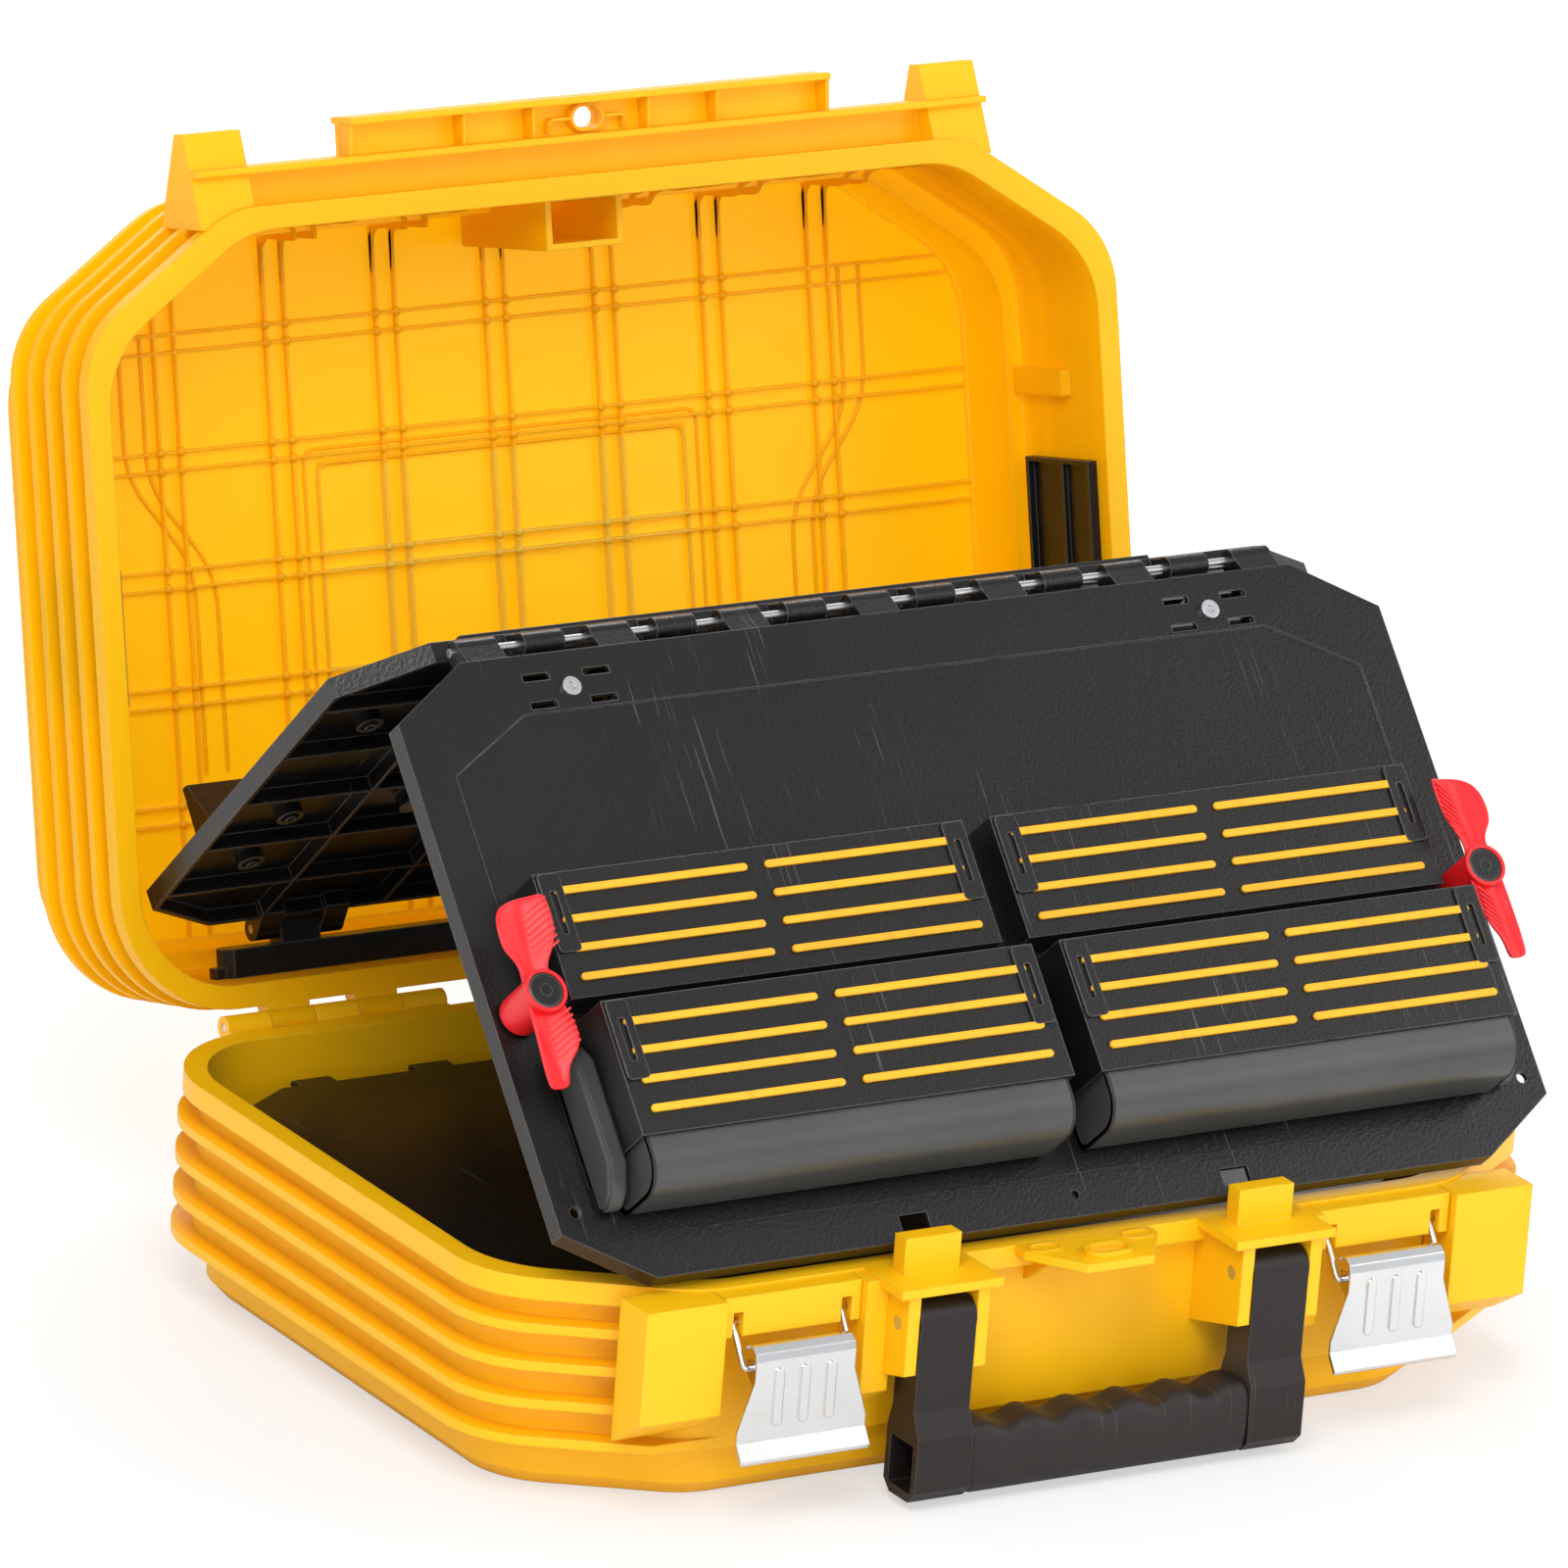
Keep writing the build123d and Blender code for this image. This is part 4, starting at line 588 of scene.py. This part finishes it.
def ring(mesh, centre, axis, outer, inner, height, sides=28):
    """A short tube that stands on centre along axis."""
    turn = Vector(axis).to_track_quat("Z", "Y").to_matrix()
    rows = []
    for radius, level in ((outer, 0), (outer, height), (inner, height), (inner, 0)):
        row = []
        for k in range(sides):
            angle = 2 * pi * k / sides
            spot = Vector((radius * cos(angle), radius * sin(angle), level))
            row.append(mesh.verts.new(Vector(centre) + turn @ spot))
        rows.append(row)
    for k, row in enumerate(rows):
        skin(mesh, row, rows[(k + 1) % 4])


# The inner side of the rear panel has ringed bosses between its ribs.
boss_mesh = bmesh.new()
for boss_x in (-0.217, -0.093, -0.031, 0.031, 0.093, 0.217):
    for down in (0.070, 0.158, 0.202):
        centre = on_rear(boss_x, down, 0.0074)
        ring(boss_mesh, centre, -rear_out, 0.0062, 0.0042, 0.0055)
        ring(boss_mesh, centre, -rear_out, 0.0030, 0.0016, 0.0065)
smooth(piece("rear_panel_bosses", boss_mesh, panel_black, "rear_leaf"))
inner_mesh = bmesh.new()
for boss_x in (-0.217, -0.155, -0.093, -0.031, 0.031, 0.093, 0.155, 0.217):
    for down in (0.045, 0.105, 0.175, 0.235):
        centre = on_front(boss_x, down, 0.0074)
        ring(inner_mesh, centre, -front_out, 0.0062, 0.0042, 0.0055)
smooth(piece("front_panel_bosses", inner_mesh, panel_black, "front_leaf"))


# ----------------------------------------------------- pockets of the front
# Two rows of black pockets are screwed to the front panel, each with two
# columns of soft yellow strips that stop tools sliding.
pocket_black = black_plastic(
    "pocket_black", (0.0058, 0.0050, 0.0045), (0.19, 0.18, 0.17), 0.26, 1100.0
)
strip_yellow = Finish("strip_yellow")
strip_cloud = strip_yellow.noise(40.0, 3.0)
strip_grain = strip_yellow.noise(1300.0, 2.0)
strip_dirt = strip_yellow.step(strip_yellow.noise(130.0, 4.0), 0.55, 0.75)
strip_body = strip_yellow.blend(strip_cloud, (0.78, 0.36, 0.006), (0.92, 0.46, 0.01))
strip_yellow.feed(
    strip_yellow.shader,
    {
        "Base Color": strip_yellow.blend(strip_dirt * 0.3, strip_body, (0.28, 0.15, 0.02)),
        "Roughness": 0.5 + strip_grain * 0.15,
        "Normal": strip_yellow.bump(strip_grain, 0.00008),
    },
)
for row in ("upper", "lower"):
    for side_name in ("left", "right"):
        dress(f"pocket_{row}_{side_name}", pocket_black)
        dress(f"strips_{row}_{side_name}", strip_yellow)
dress("panel_bolts", zinc)


def slotted_plate(name, middle, size, slot_size, place, thick, finish, body):
    """A rounded plate with a slot through it, laid on a panel by place."""
    data = bpy.data.curves.new(name, "CURVE")
    data.dimensions = "2D"
    data.fill_mode = "BOTH"
    data.extrude = thick / 2 - 0.0003
    data.bevel_depth = 0.0003
    data.bevel_resolution = 1
    for (wide, tall), corner in ((size, 0.0022), (slot_size, 0.0012)):
        outline = softened(
            [
                (-wide / 2, -tall / 2),
                (wide / 2, -tall / 2),
                (wide / 2, tall / 2),
                (-wide / 2, tall / 2),
            ],
            corner,
        )
        line = data.splines.new("POLY")
        line.points.add(len(outline) - 1)
        for made_point, (x, y) in zip(line.points, outline):
            made_point.co = (x, y, 0, 1)
        line.use_cyclic_u = True
    made = bpy.data.objects.new(name, data)
    axes = Matrix((Vector((1, 0, 0)), -front_down, front_out)).transposed().to_4x4()
    made.matrix_world = Matrix.Translation(place(middle[0], middle[1], middle[2])) @ axes
    bpy.context.scene.collection.objects.link(made)
    data.materials.append(finish.material)
    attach(made, body)


# A slotted plate stands at both upper corners of each pocket's face.
for row, top, face in (("upper", 0.116, 0.029), ("lower", 0.184, 0.050)):
    for side, side_name in ((-1, "left"), (1, "right")):
        for end, end_x in ((1, 0.0135), (2, 0.2165)):
            slotted_plate(
                f"pocket_plate_{row}_{side_name}_{end}",
                (side * end_x, top + 0.019, face + 0.0006),
                (0.0105, 0.036),
                (0.0035, 0.020),
                on_front,
                0.0016,
                pocket_black,
                "front_leaf",
            )


# ----------------------------------------------------------------- tool trays
# Smoke-grey trays slide into the lower pockets.  They let a little light
# through and are glossier than the black parts.
smoke = Finish("tray_smoke")
smoke_cloud = smoke.noise(12.0, 3.0)
smoke_grain = smoke.noise(700.0, 2.0)
smoke_rub = smoke.edges(0.02, 0.2)
smoke_body = smoke.blend(smoke_cloud, (0.034, 0.037, 0.036), (0.062, 0.066, 0.064))
smoke.feed(
    smoke.shader,
    {
        "Base Color": smoke.blend(smoke_rub * 0.5, smoke_body, (0.14, 0.145, 0.15)),
        "Roughness": 0.28 + smoke_cloud * 0.14,
        "Normal": smoke.bump(smoke_grain, 0.00005),
    },
)
TRAY_TOP = 0.188
TRAY_LOW = 0.268
TRAY_BACK = 0.011
TRAY_FRONT = 0.0475
TRAY_SKIN = 0.0016
TRAY_ROUND = 0.015


def tray_outline(skin):
    """The tray's section from its rear upper edge round to its front one."""
    low, back, front = TRAY_LOW - skin, TRAY_BACK + skin, TRAY_FRONT - skin
    line = [
        (TRAY_TOP, back),
        (low - 0.004, back),
        (low - 0.0012, back + 0.0012),
        (low, back + 0.004),
    ]
    radius = TRAY_ROUND - skin
    for k in range(9):
        angle = pi / 2 * k / 8
        line.append((low - radius + radius * cos(angle), front - radius + radius * sin(angle)))
    line.append((TRAY_TOP, front))
    return line


def slab(mesh, outline, across):
    """A flat end of the tray between two places across the panel."""
    near, far = [
        [mesh.verts.new(on_front(x, down, out)) for down, out in outline] for x in across
    ]
    mesh.faces.new(near)
    mesh.faces.new(far)
    skin(mesh, near, far)


for side, side_name in ((-1, "left"), (1, "right")):
    tray_mesh = bmesh.new()
    outer_line, inner_line = tray_outline(0), tray_outline(TRAY_SKIN)
    skin_line = outer_line + inner_line[::-1]
    near, far = side * 0.0095, side * 0.2205
    slab(tray_mesh, skin_line, (near, far))
    for x in (near, far - side * TRAY_SKIN):
        slab(tray_mesh, outer_line, (x, x + side * TRAY_SKIN))
    tray = piece(f"tray_{side_name}_rounded", tray_mesh, smoke, "front_leaf")
    smooth(tray, 35)
    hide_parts(f"tool_tray_{side_name}")
    cheek_mesh = bmesh.new()
    cheek_line = [
        (0.192, 0.0115),
        (0.264, 0.0115),
        (0.266, 0.016),
        (0.262, 0.024),
        (0.250, 0.0315),
        (0.202, 0.0315),
        (0.194, 0.026),
        (0.190, 0.018),
    ]
    slab(cheek_mesh, cheek_line, (side * 0.2228, side * 0.2320))
    rims = [edge for edge in cheek_mesh.edges if edge.calc_length() > 0.003]
    bmesh.ops.bevel(cheek_mesh, geom=rims, offset=0.0014, segments=2, affect="EDGES")
    smooth(piece(f"tray_cheek_{side_name}", cheek_mesh, smoke, "front_leaf"), 50)


# ---------------------------------------------------------------- panel clips
# A red clip turns on a post at each side of the front panel and locks the
# folded panels into the lid.  Its wings are ribbed, and a black cap holds it.
clip_red = Finish("clip_red")
red_cloud = clip_red.noise(30.0, 3.0)
red_grain = clip_red.noise(1200.0, 2.0)
red_rub = clip_red.edges(0.02, 0.18)
red_body = clip_red.blend(red_cloud, (0.70, 0.006, 0.010), (0.84, 0.012, 0.018))
clip_red.feed(
    clip_red.shader,
    {
        "Base Color": clip_red.blend(red_rub * 0.35, red_body, (0.85, 0.10, 0.09)),
        "Roughness": 0.34 + red_cloud * 0.1,
        "Normal": clip_red.bump(red_grain, 0.00006),
        "Specular IOR Level": 0.45,
    },
)
CLIP_ROWS = (
    # down, outer edge, fold, inner edge, and how far each stands off
    (-44.0, 3.0, 7.5, 12.3, 36.0, 36.5, 40.0),
    (-41.5, -9.0, 0.6, 13.6, 37.0, 34.8, 41.0),
    (-34.0, -12.5, 0.3, 14.0, 38.0, 34.0, 41.5),
    (-26.0, -13.0, 0.0, 13.2, 38.0, 33.6, 41.0),
    (-20.5, -12.2, -0.5, 11.2, 37.4, 33.6, 40.5),
    (-16.5, -8.4, -1.0, 8.6, 36.6, 33.6, 39.5),
    (-12.0, -6.8, -1.5, 5.8, 36.2, 34.0, 38.0),
    (-7.0, -7.8, -1.0, 6.0, 36.4, 35.0, 37.0),
    (0.0, -9.0, 0.0, 8.8, 36.6, 36.0, 36.8),
    (7.0, -8.8, -2.0, 8.2, 36.6, 35.0, 37.6),
    (13.0, -9.0, -3.0, 9.4, 36.6, 33.8, 39.4),
    (22.0, -9.3, -3.5, 9.8, 36.2, 33.6, 40.6),
    (28.0, -9.6, -3.2, 7.6, 35.8, 33.6, 39.6),
    (33.0, -9.8, -3.0, 1.8, 35.4, 33.8, 37.0),
    (40.0, -9.6, -4.0, 0.6, 35.0, 34.2, 35.4),
    (43.0, -8.6, -4.0, -0.4, 34.8, 34.2, 35.0),
)
CLIP_SHEET = 2.4
CLIP_HUB = 0.172
facing = front_out.to_track_quat("Z", "Y").to_matrix().to_4x4()
for side, side_name in ((-1, "left"), (1, "right")):

    def on_clip(x, down, out):
        """A point of this clip in millimetres from the middle of its hub."""
        return on_front(side * (0.240 - x / 1000), CLIP_HUB + down / 1000, out / 1000)

    clip_mesh = bmesh.new()
    clip_rows = []
    for down, outer, fold, inner, off_outer, off_fold, off_inner in CLIP_ROWS:
        spots = [
            (outer, off_outer),
            ((outer + fold) / 2, (off_outer + off_fold) / 2),
            (fold, off_fold),
            ((fold + inner) / 2, (off_fold + off_inner) / 2),
            (inner, off_inner),
        ]
        around = spots + [(x, out - CLIP_SHEET) for x, out in reversed(spots)]
        clip_rows.append([clip_mesh.verts.new(on_clip(x, down, out)) for x, out in around])
    for low, high in zip(clip_rows, clip_rows[1:]):
        skin(clip_mesh, low, high)
    clip_mesh.faces.new(clip_rows[0])
    clip_mesh.faces.new(clip_rows[-1])
    clip = piece(f"clip_wings_{side_name}", clip_mesh, clip_red, f"clip_{side_name}")
    clip.modifiers.new("round", "SUBSURF").render_levels = 2
    smooth(clip, 80)
    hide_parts(f"panel_clip_{side_name}")
    trim_mesh = bmesh.new()
    hub_middle = on_clip(0, 0, 12)
    ring(trim_mesh, hub_middle, front_out, 0.0092, 0.0031, 0.0255, 48)
    ring(trim_mesh, on_clip(0, 0, 37.0), front_out, 0.0098, 0.0082, 0.0026, 48)
    for start, count, fold_x, edge_x, off_fold, off_edge in (
        (-41.0, 8, 2.2, 12.4, 34.9, 40.7),
        (9.5, 6, -1.6, 8.4, 34.4, 39.6),
    ):
        for k in range(count):
            down = start + 2.9 * k
            path = [on_clip(edge_x, down, off_edge), on_clip(fold_x, down + 5.5, off_fold)]
            fence(trim_mesh, path, [front_out] * 2, [0.0007] * 2, 0.0010)
    trim = piece(f"clip_trim_{side_name}", trim_mesh, clip_red, f"clip_{side_name}")
    smooth(trim, 40)
    cap_mesh = bmesh.new()
    ring(cap_mesh, on_clip(0, 0, 38.2), front_out, 0.0080, 0.0060, 0.0008, 48)
    bmesh.ops.create_cone(
        cap_mesh,
        cap_ends=True,
        segments=48,
        radius1=0.0078,
        radius2=0.0072,
        depth=0.0016,
        matrix=Matrix.Translation(on_clip(0, 0, 38.6)) @ facing,
    )
    cap = piece(f"clip_disc_{side_name}", cap_mesh, trim_black, "front_leaf")
    smooth(cap, 40)
    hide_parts(f"clip_cap_{side_name}")


# --------------------------------------------------------------------- handle
# The handle is a brown-black nylon frame with a softer grip moulded over its
# bar.  It is rubbed paler along its edges and on the waves of the grip.
handle_brown = black_plastic(
    "handle_brown", (0.0085, 0.0060, 0.0052), (0.10, 0.08, 0.07), 0.40, 1000.0
)
grip_soft = black_plastic("grip_soft", (0.0110, 0.0085, 0.0075), (0.09, 0.075, 0.068), 0.48, 1500.0)
dress("handle_frame", handle_brown)
GRIP_HALF = 0.0708
GRIP_MIDDLE = Vector((0, -0.1990, 0.0205))
GRIP_WAVE = 0.0255
GRIP_ROWS = 112
GRIP_SIDES = 40
GRIP_HALF_DEEP = 0.0125
GRIP_HALF_TALL = 0.0165
GRIP_SQUARE = 4.2
grip_mesh = bmesh.new()
grip_rows = []
for k in range(GRIP_ROWS + 1):
    x = -GRIP_HALF + 2 * GRIP_HALF * k / GRIP_ROWS
    end = min(1.0, (GRIP_HALF - abs(x)) / 0.0022)
    narrow = 1 - 0.10 * (1 - end) ** 2
    wave = 0.0
    if abs(x) < 2.5 * GRIP_WAVE:
        wave = 0.5 - 0.5 * cos(2 * pi * (x / GRIP_WAVE + 0.5))
    row = []
    for j in range(GRIP_SIDES):
        angle = 2 * pi * j / GRIP_SIDES
        reach = abs(cos(angle)) ** GRIP_SQUARE + abs(sin(angle)) ** GRIP_SQUARE
        flat = reach ** (-1 / GRIP_SQUARE)
        y = GRIP_HALF_DEEP * flat * cos(angle) * narrow
        z = GRIP_HALF_TALL * flat * sin(angle) * narrow
        high = max(0.0, z / GRIP_HALF_TALL) ** 1.5
        z -= 0.0040 * wave * high
        y *= 1 - 0.10 * wave * high
        row.append(grip_mesh.verts.new(GRIP_MIDDLE + Vector((x, y, z))))
    grip_rows.append(row)
for low, high in zip(grip_rows, grip_rows[1:]):
    skin(grip_mesh, low, high)
grip_mesh.faces.new(grip_rows[0])
grip_mesh.faces.new(grip_rows[-1])
grip = piece("handle_grip_soft", grip_mesh, grip_soft, "handle")
smooth(grip, 45)
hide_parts("handle_grip")


# -------------------------------------------------------------------- latches
# Each latch is a lever pressed from thin zinc-plated sheet on a bail of bent
# steel wire.  The plating is bright and a little clouded.
latch_sheet = bright_metal("latch_sheet", (0.78, 0.79, 0.80), 0.16, (1, 1, 0.04))
latch_wire = bright_metal("latch_wire", (0.66, 0.67, 0.68), 0.2)
for side_name in ("left", "right"):
    dress(f"latch_lever_{side_name}", latch_sheet)
    dress(f"latch_bail_{side_name}", latch_wire)


# ------------------------------------------------------ floor, lamps, camera
# The case stands on a plain pale floor in soft studio light, seen from the
# left of its front through a long lens that is held slightly rolled.
floor_finish = Finish("pale_floor")
floor_finish.feed(floor_finish.shader, {"Base Color": (0.86, 0.86, 0.86), "Roughness": 0.9})
rays = floor_finish.node("ShaderNodeLightPath")
white = floor_finish.node("ShaderNodeEmission", {}, {"Color": (1, 1, 1), "Strength": 1.0})
seen = Wire(floor_finish, rays.outputs["Is Camera Ray"]) * 0.55
paled = floor_finish.node(
    "ShaderNodeMixShader",
    {},
    {0: seen, 1: floor_finish.shader.outputs[0], 2: white.outputs[0]},
)
floor_finish.feed(floor_finish.end, {"Surface": paled.outputs[0]})
floor_mesh = bmesh.new()
bmesh.ops.create_circle(floor_mesh, cap_ends=True, radius=6.0, segments=64)
floor = bmesh_object("pale_floor", floor_mesh)
floor.location.z = -0.0004
floor.data.materials.append(floor_finish.material)

scene = bpy.context.scene
world = bpy.data.worlds.new("studio")
scene.world = world
studio = Pattern(world)
ray_kinds = studio.node("ShaderNodeLightPath")
seen_by = studio.node(
    "ShaderNodeMath",
    {"operation": "MAXIMUM"},
    {0: ray_kinds.outputs["Is Camera Ray"], 1: ray_kinds.outputs["Is Transmission Ray"]},
)
ambient = studio.node("ShaderNodeBackground", {}, {"Color": (0.97, 0.98, 1.0), "Strength": 0.72})
backdrop = studio.node("ShaderNodeBackground", {}, {"Color": (1, 1, 1), "Strength": 1.0})
pick = studio.node(
    "ShaderNodeMixShader",
    {},
    {0: seen_by.outputs[0], 1: ambient.outputs[0], 2: backdrop.outputs[0]},
)
studio.node("ShaderNodeOutputWorld", {}, {"Surface": pick.outputs[0]})


def lamp(name, place, aim, size, power):
    """A square soft lamp that faces a point."""
    light = bpy.data.lights.new(name, "AREA")
    light.shape = "SQUARE"
    light.size = size
    light.energy = power
    made = bpy.data.objects.new(name, light)
    made.location = place
    made.rotation_euler = (Vector(aim) - Vector(place)).to_track_quat("-Z", "Y").to_euler()
    scene.collection.objects.link(made)


lamp("key_lamp", (-1.3, -1.5, 2.3), (0, 0, 0.2), 1.4, 44)
lamp("fill_lamp", (1.9, -1.3, 1.2), (0, 0, 0.2), 1.6, 16)
lamp("front_lamp", (-0.5, -2.4, 0.7), (0, 0, 0.2), 1.4, 13)
lamp("back_lamp", (0.6, 1.9, 1.5), (0, 0.25, 0.25), 1.4, 36)

LENS_HEADING = radians(32.855)
LENS_TILT = radians(18.327)
LENS_ROLL = radians(4.317)
LENS_REACH = 6.118
LENS_LENGTH = 322.4
LENS_AIM = Vector((-0.04276, 0.0195, 0.24872))
right = Vector((cos(LENS_HEADING), -sin(LENS_HEADING), 0))
ahead_of = Vector(
    (
        sin(LENS_HEADING) * cos(LENS_TILT),
        cos(LENS_HEADING) * cos(LENS_TILT),
        -sin(LENS_TILT),
    )
)
upward = right.cross(ahead_of)
lens_right = cos(LENS_ROLL) * right + sin(LENS_ROLL) * upward
lens_up = cos(LENS_ROLL) * upward - sin(LENS_ROLL) * right
camera_data = bpy.data.cameras.new("photo_camera")
camera_data.lens = LENS_LENGTH
camera_data.sensor_width = 36
camera_data.clip_end = 30
camera = bpy.data.objects.new("photo_camera", camera_data)
camera.matrix_world = Matrix.Translation(LENS_AIM - ahead_of * LENS_REACH) @ Matrix(
    (lens_right, lens_up, -ahead_of)
).transposed().to_4x4()
scene.collection.objects.link(camera)
scene.camera = camera
scene.view_settings.view_transform = "Standard"
